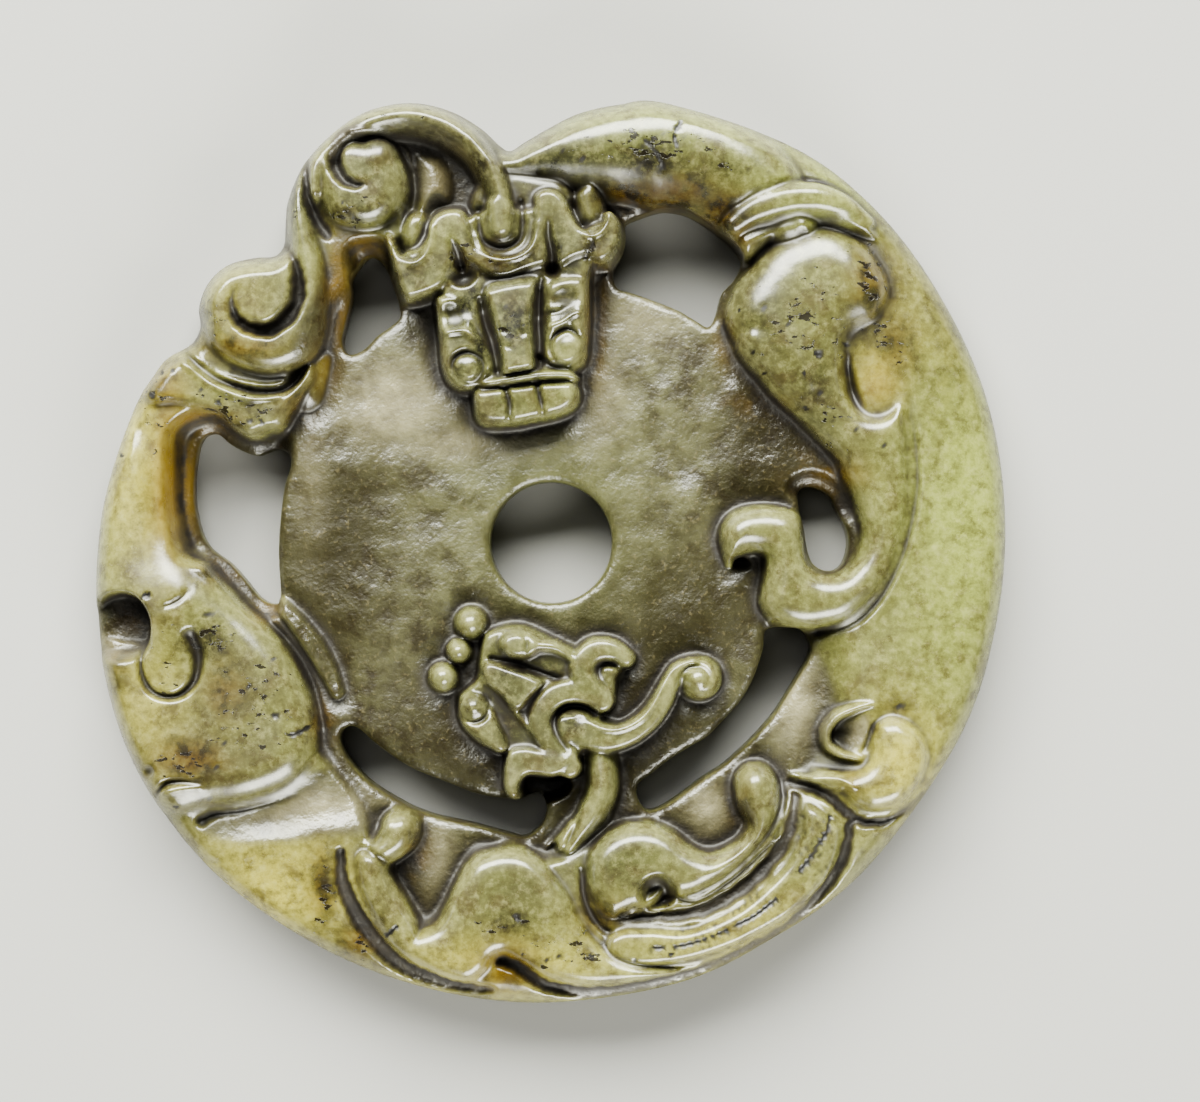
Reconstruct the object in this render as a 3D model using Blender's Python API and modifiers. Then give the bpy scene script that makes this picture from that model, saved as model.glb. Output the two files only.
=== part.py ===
"""Openwork nephrite bi disc with chi dragons in relief, lying face up on its flat back.

The disc, its ring, the dragons and the cloud scrolls are one carved solid. Plan places are in
millimetres on a disc of 60 mm and follow DISC_DIAMETER. Heights are above the flat back.
"""
import math

import bmesh
import bpy

MM = 0.001

# Overall sizes
DISC_DIAMETER = 60.0 * MM
HOLE_DIAMETER = 7.9 * MM
HOLE_PLACE = (0.0, 0.75)
FIELD_DIAMETER = 35.6 * MM
FIELD_PLACE = (-0.3, 0.9)
RIM_ROUNDING = 1.5 * MM

# Heights of the two levels that the relief stands on
FIELD_HEIGHT = 4.2 * MM
BAND_RISE = 1.1 * MM
BAND_HEIGHT = FIELD_HEIGHT + BAND_RISE

# Relief over the sunk field, one value for each carved form
CRESTED_HEAD_RELIEF = 3.7 * MM
SNOUT_RELIEF = 3.2 * MM
CREST_RELIEF = 3.0 * MM
STRAP_RELIEF = 2.8 * MM
MANE_RELIEF = 2.5 * MM
NECK_RELIEF = 2.8 * MM
SHOULDER_RELIEF = 2.9 * MM
LIMB_RELIEF = 2.4 * MM
SMALL_HEAD_RELIEF = 1.9 * MM
HORN_RELIEF = 1.6 * MM
HAUNCH_RELIEF = 2.3 * MM
CLOUD_RELIEF = 2.2 * MM
WING_RELIEF = 1.9 * MM

GROOVE_DEPTH = 0.7 * MM
GROOVE_WIDTH = 0.9 * MM

# Fineness of the carved surface, as cells across the disc and the share of faces kept
CELLS_ACROSS = 176
KEPT_SHARE = 0.039

PLAN_DIAMETER = 60.0
BURIED = 1.5 * MM
TUBE_STEPS = 3
SPAN_STEPS = 4

# The ring's edge: radius in plan millimetres at each angle, from the top round by the right
RIM_RADII = {76: 30.6, 60: 31.2, 48: 31.25, 35: 30.8, 20: 30.5, 5: 30.05, -10: 29.7, -25: 29.5,
             -45: 29.3, -60: 29.2, -75: 29.5, -95: 29.65, -115: 29.95, -135: 30.55, -152: 30.75,
             -168: 30.35, -184: 29.7, -198: 29.1}
SCROLL_EDGE = [(-26.0, 12.0), (-24.4, 13.4), (-23.2, 14.3), (-23.1, 16.6), (-21.9, 18.6),
               (-20.0, 19.4), (-17.8, 19.8), (-17.4, 22.4), (-16.3, 25.4), (-14.0, 27.9),
               (-11.1, 29.4), (-8.5, 29.7), (-5.9, 28.9), (-3.7, 27.2), (-2.5, 26.6),
               (-0.7, 27.7), (1.8, 29.0), (4.5, 29.6)]


def plan(points):
    """Plan millimetres to metres on the disc as it is sized."""
    share = DISC_DIAMETER / PLAN_DIAMETER
    return [(x * share, y * share) for x, y in points]


def rim_outline():
    """The outer edge: a round ring, and the dragon's scrolls where they stand past it."""
    ring = [(r * math.cos(math.radians(a)), r * math.sin(math.radians(a)))
            for a, r in RIM_RADII.items()]
    return ring + SCROLL_EDGE


def new_collection(name):
    collection = bpy.data.collections.new(name)
    bpy.context.scene.collection.children.link(collection)
    return collection


def curve_object(name, points, closed, flat):
    """A curve through metre points, eased by Blender's automatic handles."""
    data = bpy.data.curves.new(name, "CURVE")
    data.dimensions = "2D" if flat else "3D"
    data.resolution_u = SPAN_STEPS
    spline = data.splines.new("BEZIER")
    spline.bezier_points.add(len(points) - 1)
    for knot, (x, y) in zip(spline.bezier_points, points):
        knot.co = (x, y, 0)
        knot.handle_left_type = "AUTO"
        knot.handle_right_type = "AUTO"
    spline.use_cyclic_u = closed
    obj = bpy.data.objects.new(name, data)
    bpy.context.scene.collection.objects.link(obj)
    return obj


def made_mesh(obj):
    """The evaluated shape as a plain mesh object with its caps welded; the first object goes."""
    bpy.context.view_layer.update()
    seen = obj.evaluated_get(bpy.context.evaluated_depsgraph_get())
    mesh = bpy.data.meshes.new_from_object(seen)
    mesh.transform(obj.matrix_world)
    name = obj.name
    bpy.data.objects.remove(obj)
    weld = bmesh.new()
    weld.from_mesh(mesh)
    bmesh.ops.remove_doubles(weld, verts=weld.verts, dist=0.00001)
    bmesh.ops.recalc_face_normals(weld, faces=weld.faces)
    weld.to_mesh(mesh)
    weld.free()
    made = bpy.data.objects.new(name, mesh)
    bpy.context.scene.collection.objects.link(made)
    return made


def plate(name, points, low, high, rounding):
    """A flat form with rounded upper and lower edges, inside its plan outline."""
    obj = curve_object(name, plan(points), True, True)
    obj.data.fill_mode = "BOTH"
    obj.data.bevel_depth = rounding
    obj.data.bevel_resolution = 2
    obj.data.offset = -rounding
    obj.data.extrude = (high - low) / 2 - rounding
    obj.location.z = (high + low) / 2
    return made_mesh(obj)


def strand(name, points, widths, top, base):
    """A rounded strand whose width eases from end to end, with ball ends."""
    places = plan(points)
    share = DISC_DIAMETER / PLAN_DIAMETER
    obj = curve_object(name, places, False, False)
    obj.data.bevel_depth = 1.0
    obj.data.fill_mode = "FULL"
    obj.data.bevel_resolution = TUBE_STEPS
    obj.data.use_fill_caps = True
    last = len(places) - 1
    spans = len(widths) - 1
    radii = []
    for step in range(last + 1):
        along = step / last * spans
        start = min(int(along), spans - 1)
        mixed = widths[start] + (widths[start + 1] - widths[start]) * (along - start)
        radii.append(mixed * share / 2)
    for knot, radius in zip(obj.data.splines[0].bezier_points, radii):
        knot.radius = radius
    rise = top - base
    obj.scale.z = rise / (max(widths) * share / 2)
    obj.location.z = base
    pieces = [made_mesh(obj)]
    for (x, y), radius in ((places[0], radii[0]), (places[-1], radii[-1])):
        pieces.append(ball_at(name + "_end", x, y, radius, rise * radius / max(radii), base))
    return pieces


def ball_at(name, x, y, radius, rise, base):
    bpy.ops.mesh.primitive_uv_sphere_add(segments=20, ring_count=12, radius=1.0, location=(x, y, base))
    obj = bpy.context.object
    obj.name = name
    obj.scale = (radius, radius, rise)
    return made_mesh(obj)


def dome(name, x, y, width, top, base):
    """A round knob of a plan width, rising from a base level."""
    (px, py), = plan([(x, y)])
    share = DISC_DIAMETER / PLAN_DIAMETER
    return ball_at(name, px, py, width * share / 2, top - base, base)


def cut(obj, cutters, name):
    """Takes a cutter, or a collection of them, out of a piece."""
    step = obj.modifiers.new(name, "BOOLEAN")
    step.operation = "DIFFERENCE"
    step.solver = "EXACT"
    if isinstance(cutters, bpy.types.Collection):
        step.operand_type = "COLLECTION"
        step.collection = cutters
    else:
        step.object = cutters


def ring_blank():
    """The sawn and rounded blank, with the round field sunk inside its ring."""
    blank = plate("blank", rim_outline(), -2 * BURIED, BAND_HEIGHT, RIM_ROUNDING)
    (x, y), = plan([FIELD_PLACE])
    radius = FIELD_DIAMETER / 2
    slope = BAND_HEIGHT - FIELD_HEIGHT
    profile = [(0, BAND_HEIGHT + BURIED), (radius + slope + BURIED, BAND_HEIGHT + BURIED),
               (radius, FIELD_HEIGHT), (0, FIELD_HEIGHT - 0.1 * MM)]
    data = bpy.data.meshes.new("field_profile")
    data.from_pydata([(r, 0, z) for r, z in profile], [(i, i + 1) for i in range(3)], [])
    field = bpy.data.objects.new("field", data)
    bpy.context.scene.collection.objects.link(field)
    turn = field.modifiers.new("turn", "SCREW")
    turn.steps = 48
    turn.render_steps = 48
    turn.use_merge_vertices = True
    turn.merge_threshold = 0.00001
    field.location = (x, y, 0)
    field = made_mesh(field)
    cut(blank, field, "field")
    blank = made_mesh(blank)
    bpy.data.objects.remove(field)
    return [blank]


def crested_head():
    """The large dragon's head, seen from above: crest, brow, cheeks and square snout."""
    base = FIELD_HEIGHT - BURIED
    crest = [(-10.4, 20.8), (-9.8, 19.5), (-8.7, 19.2), (-8.0, 20.2), (-7.9, 21.6), (-6.9, 22.3),
             (-5.4, 22.3), (-4.8, 20.8), (-3.9, 19.6), (-2.6, 19.5), (-1.4, 20.6), (-1.4, 22.7),
             (-0.3, 23.4), (1.1, 22.7), (1.8, 21.2), (2.7, 21.0), (3.5, 22.3), (4.6, 21.9),
             (4.6, 19.6), (3.9, 18.6), (2.4, 18.9), (1.0, 18.3), (-1.0, 18.2), (-3.4, 17.8),
             (-5.6, 18.6), (-6.6, 17.4), (-8.2, 16.6), (-9.6, 16.6), (-10.6, 18.4)]
    nose = [(-4.6, 17.6), (-2.4, 18.2), (-0.4, 18.0), (-0.8, 14.6), (-1.0, 11.6), (-3.2, 11.2),
            (-3.9, 14.4)]
    cheek = [(-7.3, 16.4), (-7.2, 13.6), (-6.6, 10.8), (-5.2, 10.2), (-3.6, 10.8), (-3.5, 13.4),
             (-4.4, 16.2), (-5.6, 17.4)]
    brow = [(-0.4, 17.6), (2.6, 17.8), (2.8, 15.2), (2.8, 13.0), (1.4, 11.6), (-0.6, 11.6), (-0.8, 14.6)]
    snout = [(-4.7, 10.9), (-2.0, 11.4), (0.6, 11.9), (1.7, 11.3), (2.0, 10.0), (1.3, 9.2),
             (-1.2, 8.5), (-3.6, 8.1), (-4.9, 8.7), (-5.1, 9.9)]
    head_top = FIELD_HEIGHT + CRESTED_HEAD_RELIEF
    return [plate("crest", crest, base, FIELD_HEIGHT + CREST_RELIEF, 0.5 * MM),
            plate("nose", nose, base, head_top, 0.7 * MM),
            plate("cheek", cheek, base, head_top - 0.4 * MM, 0.9 * MM),
            plate("brow", brow, base, head_top - 0.4 * MM, 0.9 * MM),
            plate("snout", snout, base, FIELD_HEIGHT + SNOUT_RELIEF, 0.9 * MM),
            dome("left_eye", -5.4, 12.1, 2.4, head_top - 0.1 * MM, FIELD_HEIGHT),
            dome("right_eye", 1.1, 13.3, 2.2, head_top - 0.1 * MM, FIELD_HEIGHT)]


def scrolls():
    """The crest's long strap, curled over the disc's edge, and the mane's scroll beside it."""
    strap = [(-3.3, 20.2), (-3.3, 23.0), (-4.0, 25.7), (-6.2, 27.7), (-9.2, 28.6), (-12.1, 28.2),
             (-14.4, 26.4), (-15.2, 23.9), (-14.3, 21.9)]
    curl = [(-14.9, 25.6), (-15.4, 22.8), (-13.9, 20.2), (-11.8, 19.1), (-9.9, 20.9), (-9.1, 23.2),
            (-9.9, 25.6), (-11.6, 26.4), (-13.4, 26.4)]
    mane = [(-16.2, 25.0), (-16.4, 22.7), (-15.9, 20.2), (-15.0, 17.6), (-15.2, 15.0), (-16.7, 12.9),
            (-19.2, 12.3), (-21.4, 13.6), (-22.3, 15.8), (-21.5, 17.9), (-19.6, 18.6)]
    bridge = [(-25.2, 12.6), (-22.4, 13.4), (-19.6, 12.2), (-16.2, 13.4), (-14.4, 12.6), (-15.4, 10.8),
              (-17.4, 7.6), (-19.2, 6.8), (-21.0, 7.6), (-22.6, 9.0), (-25.6, 9.6), (-26.6, 11.2)]
    top = FIELD_HEIGHT + MANE_RELIEF
    pieces = strand("strap", strap, [2.2, 2.2, 2.0, 2.0], FIELD_HEIGHT + STRAP_RELIEF, FIELD_HEIGHT)
    pieces += strand("mane", mane, [1.8, 2.8, 3.4, 3.2, 2.4], top, FIELD_HEIGHT)
    pieces.append(plate("curl", curl, FIELD_HEIGHT - BURIED, top, 1.4 * MM))
    pieces.append(dome("mane_lobe", -18.8, 17.0, 4.4, top, FIELD_HEIGHT))
    pieces.append(plate("bridge", bridge, FIELD_HEIGHT - BURIED, BAND_HEIGHT + 0.6 * MM, 0.8 * MM))
    return pieces


def large_body():
    """The large dragon's neck over the top, its shoulder, and its leg hooked onto the field."""
    neck = [(-2.6, 24.2), (0.4, 25.4), (4.0, 26.0), (8.0, 25.7), (11.4, 24.4), (14.0, 22.6)]
    shoulder = [(11.2, 15.6), (11.8, 17.8), (13.3, 19.8), (15.6, 21.3), (18.2, 22.0), (20.6, 21.0),
                (22.2, 18.6), (22.5, 16.2), (21.2, 14.4), (19.6, 13.4), (19.4, 11.0), (18.2, 8.0),
                (16.2, 9.0), (13.4, 10.8), (11.8, 13.2)]
    leg = [(16.4, 13.4), (18.6, 9.4), (20.8, 5.6), (21.7, 2.0), (20.6, -1.0), (18.4, -2.9), (15.9, -2.9),
           (14.9, -0.9), (14.2, 1.2), (12.2, 1.3)]
    collar = [(12.4, 21.2), (14.2, 22.9), (17.4, 23.4), (20.2, 22.4), (22.6, 20.4)]
    top = FIELD_HEIGHT + SHOULDER_RELIEF
    pieces = strand("neck", neck, [5.2, 6.2, 7.0, 6.6, 5.0], FIELD_HEIGHT + NECK_RELIEF, FIELD_HEIGHT)
    pieces += strand("leg", leg, [5.6, 4.2, 3.4, 3.6, 3.2], FIELD_HEIGHT + LIMB_RELIEF, FIELD_HEIGHT)
    pieces += strand("collar", collar, [1.2, 1.6, 1.2], top - 0.2 * MM, FIELD_HEIGHT)
    pieces.append(plate("shoulder", shoulder, FIELD_HEIGHT - BURIED, top, 1.8 * MM))
    return pieces


def small_dragon():
    """The small dragon that climbs onto the field from below, its horn strap and its haunch."""
    base = FIELD_HEIGHT - BURIED
    top = FIELD_HEIGHT + SMALL_HEAD_RELIEF
    nose = [(-4.6, -8.3), (-4.1, -6.8), (-2.2, -7.1), (-0.3, -7.6), (-1.0, -9.0), (-2.2, -10.2),
            (-3.4, -9.2)]
    forehead = [(-3.7, -5.2), (-2.6, -4.4), (-1.0, -4.9), (0.6, -5.9), (1.4, -7.2), (0.6, -8.0),
                (-1.2, -7.2), (-3.2, -6.6)]
    cheek = [(-5.9, -8.9), (-4.8, -8.5), (-4.0, -9.3), (-2.4, -10.2), (-1.6, -11.6), (-3.2, -12.8),
             (-4.8, -11.9), (-5.9, -10.8)]
    crown = [(1.2, -7.4), (2.0, -8.8), (3.2, -8.4), (3.4, -9.8), (2.2, -11.4), (1.6, -13.4), (0.2, -14.2),
             (-1.2, -13.4), (-0.2, -12.4), (-1.0, -11.0), (-0.6, -9.6)]
    near_ear = [(1.3, -7.4), (1.9, -6.3), (3.1, -5.9), (4.2, -6.4), (4.3, -7.4), (3.0, -8.4)]
    far_ear = [(-0.6, -13.1), (-1.8, -12.8), (-2.8, -13.6), (-3.0, -15.0), (-2.0, -15.8)]
    horn = [(1.1, -10.9), (1.9, -11.9), (3.6, -12.3), (5.6, -11.6), (7.0, -10.0), (7.8, -7.6), (9.5, -8.0)]
    neck = [(1.2, -13.2), (3.3, -13.4), (3.3, -15.6), (2.7, -17.4), (1.4, -19.4)]
    haunch = [(2.1, -21.2), (2.4, -19.5), (3.4, -18.0), (5.8, -17.3), (8.4, -18.1), (10.4, -19.4),
              (12.6, -18.8), (13.0, -16.8), (12.1, -15.0), (13.4, -13.7), (14.9, -14.7),
              (14.9, -17.6), (13.0, -20.4), (9.7, -22.3), (6.6, -23.4), (3.6, -23.2)]
    pieces = [plate("small_nose", nose, base, top, 0.4 * MM),
              plate("forehead", forehead, base, top + 0.1 * MM, 0.6 * MM),
              plate("small_cheek", cheek, base, top, 0.6 * MM),
              plate("crown", crown, base, top - 0.1 * MM, 0.5 * MM),
              plate("small_haunch", haunch, base, FIELD_HEIGHT + HAUNCH_RELIEF, 1.2 * MM)]
    pieces += strand("near_ear", near_ear, [1.3, 1.5, 1.2], top, FIELD_HEIGHT)
    pieces += strand("far_ear", far_ear, [1.2, 1.5, 1.2], top - 0.2 * MM, FIELD_HEIGHT)
    pieces += strand("horn", horn, [1.4, 1.5, 1.3, 2.6], FIELD_HEIGHT + HORN_RELIEF, FIELD_HEIGHT)
    pieces += strand("small_neck", neck, [1.6, 2.2, 2.4, 2.2], top - 0.2 * MM, FIELD_HEIGHT)
    for number, (x, y, width) in enumerate([(-5.2, -4.4, 2.3), (-6.1, -6.1, 1.8), (-6.9, -7.6, 2.1)]):
        pieces.append(dome(f"muzzle_{number}", x, y, width, top - 0.1 * MM, FIELD_HEIGHT - BURIED))
    for name, x, y, width in (("upper_eye", -2.3, -5.5, 1.8), ("lower_eye", -4.9, -9.9, 1.8)):
        pieces.append(dome(name, x, y, width, top + 0.4 * MM, FIELD_HEIGHT))
    return pieces


def haunches():
    """The ring's two swelling haunches, the foot between them and the strip beside the field."""
    base = FIELD_HEIGHT - BURIED
    top = FIELD_HEIGHT + HAUNCH_RELIEF
    left = [(-27.0, 3.4), (-24.4, 1.2), (-20.6, -2.6), (-17.6, -5.4), (-15.6, -8.8), (-15.1, -12.0),
            (-16.4, -15.2), (-20.4, -16.9), (-24.0, -16.2), (-26.6, -13.2), (-28.4, -8.6), (-28.9, -3.0),
            (-28.7, 1.2)]
    bottom = [(-8.4, -24.2), (-6.8, -22.9), (-5.4, -20.6), (-3.6, -19.3), (-1.7, -19.4), (0.2, -20.6),
              (1.6, -22.7), (3.6, -25.6), (7.6, -27.0), (2.4, -27.8), (-1.2, -27.2), (-3.8, -26.6),
              (-6.4, -27.6), (-9.4, -26.4), (-10.4, -24.6)]
    foot = [(-9.7, -17.4), (-10.6, -19.4), (-11.0, -21.4), (-10.2, -23.6), (-8.8, -25.2)]
    strip = [(-17.2, -3.4), (-15.8, -5.2), (-14.4, -7.2), (-13.8, -9.0)]
    pieces = [plate("left_haunch", left, base, top, 1.9 * MM),
              plate("bottom_haunch", bottom, base, top, 1.2 * MM)]
    pieces += strand("foot", foot, [2.4, 2.8, 3.6, 3.4], top - 0.3 * MM, FIELD_HEIGHT)
    pieces += strand("strip", strip, [0.9, 1.3, 1.2], BAND_HEIGHT, FIELD_HEIGHT)
    return pieces


def clouds():
    """The cloud scroll at the lower right and the striped wing that sweeps under it."""
    base = FIELD_HEIGHT - BURIED
    top = FIELD_HEIGHT + CLOUD_RELIEF
    lobe = [(21.7, -10.2), (23.6, -10.7), (24.8, -12.6), (24.7, -15.0), (23.0, -16.7), (20.6, -17.0),
            (18.8, -15.8), (17.2, -15.0), (19.4, -13.6), (20.7, -12.2)]
    hook = [(22.6, -9.8), (20.6, -9.6), (18.8, -10.2), (18.2, -11.6), (19.2, -13.0)]
    wing = [(16.2, -15.6), (15.6, -18.4), (13.8, -20.9), (11.0, -22.9), (8.0, -23.8), (5.0, -24.2),
            (5.2, -26.2), (8.6, -26.6), (12.6, -25.4), (16.2, -23.2), (18.8, -20.2), (19.4, -17.6),
            (18.0, -15.6)]
    pieces = [plate("cloud_lobe", lobe, base, top, 1.2 * MM),
              plate("wing", wing, base, FIELD_HEIGHT + WING_RELIEF, 0.5 * MM)]
    pieces += strand("cloud_hook", hook, [1.2, 1.8, 1.6], top, FIELD_HEIGHT)
    return pieces


def piercings():
    """The holes that go right through: the cord hole and the openwork between the forms."""
    openings = {
        "upper_left": [(-13.1, 18.2), (-12.5, 19.4), (-11.2, 19.5), (-10.5, 18.0), (-9.8, 16.0),
                       (-10.8, 14.4), (-12.4, 13.4), (-13.5, 13.4), (-13.5, 15.6)],
        "upper_right": [(5.0, 21.4), (6.8, 22.2), (8.7, 22.4), (11.0, 20.7), (12.4, 19.0),
                        (11.3, 17.0), (10.4, 15.1), (8.2, 15.9), (5.8, 16.7), (4.4, 18.0)],
        "left": [(-22.3, 7.9), (-20.6, 6.8), (-18.9, 6.6), (-17.1, 6.2), (-17.6, 3.8), (-17.8, 0.4),
                 (-17.8, -2.8), (-19.0, -3.2), (-20.4, -1.6), (-22.2, 0.3), (-23.4, 2.7), (-23.4, 6.0)],
        "right": [(16.4, 3.9), (17.2, 4.1), (18.5, 3.3), (19.5, 1.2), (19.4, -0.3), (18.4, -1.0),
                  (17.3, -0.5), (16.6, 1.4)],
        "lower_right": [(14.3, -5.2), (15.4, -4.7), (16.7, -5.2), (17.0, -6.6), (15.4, -9.6),
                        (12.7, -12.6), (9.4, -15.1), (6.8, -16.9), (5.7, -16.2), (6.6, -14.8),
                        (10.0, -12.5), (12.8, -9.0)],
        "lower_left": [(-13.7, -11.8), (-12.8, -11.4), (-10.7, -13.1), (-7.2, -15.0), (-3.6, -15.9),
                       (-0.3, -16.5), (-0.7, -18.2), (-2.0, -18.6), (-5.4, -17.8), (-9.8, -16.1),
                       (-12.2, -14.2)],
    }
    through = [plate(name, outline, -3 * BURIED, FIELD_HEIGHT * 3, 0)
               for name, outline in openings.items()]
    (x, y), = plan([HOLE_PLACE])
    bpy.ops.mesh.primitive_cylinder_add(vertices=64, radius=HOLE_DIAMETER / 2, depth=FIELD_HEIGHT * 4,
                                        location=(x, y, FIELD_HEIGHT))
    hole = bpy.context.object
    hole.name = "cord_hole"
    return through + [made_mesh(hole)]


def grooves():
    """The deeper cuts that part one form from the next."""
    lines = {
        "mane_spiral": ([(-17.6, 19.2), (-16.2, 17.8), (-16.2, 16.0), (-17.6, 14.6), (-19.6, 14.5),
                         (-20.9, 15.8), (-20.4, 17.1)], MANE_RELIEF),
        "strap_spiral": ([(-13.2, 27.0), (-13.7, 24.8), (-12.8, 23.4), (-11.4, 23.6), (-11.4, 24.8)],
                         MANE_RELIEF),
        "collar_cut": ([(12.8, 19.9), (15.4, 21.9), (18.4, 22.4), (21.2, 21.0)], SHOULDER_RELIEF),
        "haunch_loop": ([(-27.6, -4.4), (-26.3, -6.2), (-25.7, -8.6), (-24.4, -9.2), (-22.9, -7.6),
                         (-23.4, -5.2)], HAUNCH_RELIEF),
        "haunch_cut": ([(-25.6, -15.4), (-22.6, -16.4), (-19.4, -15.6)], HAUNCH_RELIEF),
        "wing_cut": ([(17.6, -17.6), (16.0, -20.4), (13.2, -23.1), (9.4, -24.9)], WING_RELIEF),
        "cloud_cut": ([(16.4, -15.3), (18.4, -16.3), (20.6, -17.6), (23.2, -17.0), (25.0, -14.6)],
                      BAND_RISE),
        "lower_cut": ([(19.4, -20.2), (16.2, -23.9), (11.0, -26.9), (5.0, -28.2), (0.4, -28.2),
                       (-3.3, -26.3)], BAND_RISE),
        "foot_cut": ([(-11.8, -18.0), (-13.3, -20.4), (-12.4, -24.0), (-9.2, -26.9), (-5.0, -28.2)],
                     BAND_RISE),
    }
    cutters = []
    for name, (line, relief) in lines.items():
        level = FIELD_HEIGHT + relief
        pieces = strand(name, line, [GROOVE_WIDTH / MM] * 2, level + GROOVE_DEPTH, level)
        cutters.append(pieces[0])
        for end in pieces[1:]:
            bpy.data.objects.remove(end)
    return cutters


def dips():
    """The round hollows: the scroll's eye, the haunch's cup and the basin behind the shoulder."""
    places = {"scroll_eye": (6.9, -21.9, 2.0, HAUNCH_RELIEF), "haunch_cup": (-27.7, -4.6, 2.8, BAND_RISE),
              "shoulder_basin": (21.0, 11.6, 3.2, SHOULDER_RELIEF), "chin_pit": (-0.5, -15.4, 2.0, 0.0),
              "cloud_eye": (19.7, -11.9, 1.5, CLOUD_RELIEF)}
    return [dome(name, x, y, width, FIELD_HEIGHT + relief + width * MM / 2, FIELD_HEIGHT + relief)
            for name, (x, y, width, relief) in places.items()]


def back_plane():
    """What is ground away to leave the back flat, at height zero."""
    bpy.ops.mesh.primitive_cube_add(size=1.0, location=(0, 0, -5 * BURIED))
    block = bpy.context.object
    block.name = "back"
    block.scale = (DISC_DIAMETER * 2, DISC_DIAMETER * 2, 10 * BURIED)
    return made_mesh(block)


def one_mesh(name, pieces):
    """All the carved forms as one object, before they are fused."""
    merged = bmesh.new()
    for piece in pieces:
        merged.from_mesh(piece.data)
        bpy.data.objects.remove(piece)
    mesh = bpy.data.meshes.new(name)
    merged.to_mesh(mesh)
    merged.free()
    return bpy.data.objects.new(name, mesh)


def nephrite():
    material = bpy.data.materials.new("nephrite")
    material.use_nodes = True
    shader = material.node_tree.nodes["Principled BSDF"]
    shader.inputs["Base Color"].default_value = (0.30, 0.31, 0.17, 1.0)
    shader.inputs["Roughness"].default_value = 0.3
    shader.inputs["Metallic"].default_value = 0.0
    return material


def main():
    for obj in list(bpy.data.objects):
        bpy.data.objects.remove(obj)
    parts = new_collection("jade_bi_disc")
    cutters = new_collection("cutters")

    forms = ring_blank() + crested_head() + scrolls() + large_body()
    forms += small_dragon() + haunches() + clouds()
    disc = one_mesh("jade_disc", forms)
    parts.objects.link(disc)
    disc.data.materials.append(nephrite())

    fuse = disc.modifiers.new("fuse", "REMESH")
    fuse.mode = "VOXEL"
    fuse.voxel_size = DISC_DIAMETER / CELLS_ACROSS
    ease = disc.modifiers.new("ease", "SMOOTH")
    ease.factor = 0.5
    ease.iterations = 3
    thin = disc.modifiers.new("thin", "DECIMATE")
    thin.ratio = KEPT_SHARE
    for cutter in piercings() + grooves() + dips() + [back_plane()]:
        for owner in list(cutter.users_collection):
            owner.objects.unlink(cutter)
        cutters.objects.link(cutter)
        cutter.hide_render = True
        cutter.display_type = "WIRE"
    cut(disc, cutters, "openwork")
    disc.data.shade_smooth()


main()
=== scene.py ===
import math

import bmesh
import bpy
import numpy as np
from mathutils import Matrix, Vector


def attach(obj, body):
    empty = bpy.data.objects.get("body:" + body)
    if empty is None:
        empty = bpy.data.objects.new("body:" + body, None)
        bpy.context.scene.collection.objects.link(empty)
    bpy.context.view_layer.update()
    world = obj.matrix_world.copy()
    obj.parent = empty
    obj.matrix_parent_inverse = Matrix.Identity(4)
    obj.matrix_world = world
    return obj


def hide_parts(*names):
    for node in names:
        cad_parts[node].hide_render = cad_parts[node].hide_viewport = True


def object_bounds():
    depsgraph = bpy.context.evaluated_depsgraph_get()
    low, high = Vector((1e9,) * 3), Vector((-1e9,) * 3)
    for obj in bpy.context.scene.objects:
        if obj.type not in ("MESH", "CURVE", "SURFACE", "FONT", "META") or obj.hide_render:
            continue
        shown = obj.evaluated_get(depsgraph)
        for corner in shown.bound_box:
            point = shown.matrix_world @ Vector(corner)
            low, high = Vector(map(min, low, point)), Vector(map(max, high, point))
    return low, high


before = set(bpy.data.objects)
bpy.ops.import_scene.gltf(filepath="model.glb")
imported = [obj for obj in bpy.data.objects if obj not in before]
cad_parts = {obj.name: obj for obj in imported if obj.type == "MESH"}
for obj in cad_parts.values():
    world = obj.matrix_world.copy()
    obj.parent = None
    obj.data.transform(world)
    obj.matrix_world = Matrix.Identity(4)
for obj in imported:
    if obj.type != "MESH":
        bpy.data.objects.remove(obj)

cad_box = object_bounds()

# The jade blank: a ring of nephrite with a round field sunk inside it, sawn and ground to shape.
# It is carved here as heights in millimetres above the flat back, on a fine net seen from above.
# Every form is laid on by listed points read as millimetres from the disc's centre.
CELL = 0.065
HALF_NET = 31.2
BAND_TOP = 5.2
FIELD_TOP = 4.37
FIELD_EDGE = 3.75
BAND_MIDDLE = 25.0
FIELD_CENTRE = (-0.3, 0.9)
FIELD_SLOPE = 1.1
FIELD_FALL = 0.0021
FALL_OUTWARD = 0.028
FALL_INWARD = 0.012
EDGE_REACH = 4.0
RING_RADII = {76: 30.6, 60: 31.15, 48: 31.2, 35: 30.8, 20: 30.45, 5: 30.0, -10: 29.65, -25: 29.45,
    -45: 29.3, -60: 29.2, -75: 29.45, -95: 29.6, -115: 29.9, -135: 30.5, -152: 30.7, -168: 30.3,
    -184: 29.7, -198: 29.1}
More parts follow.
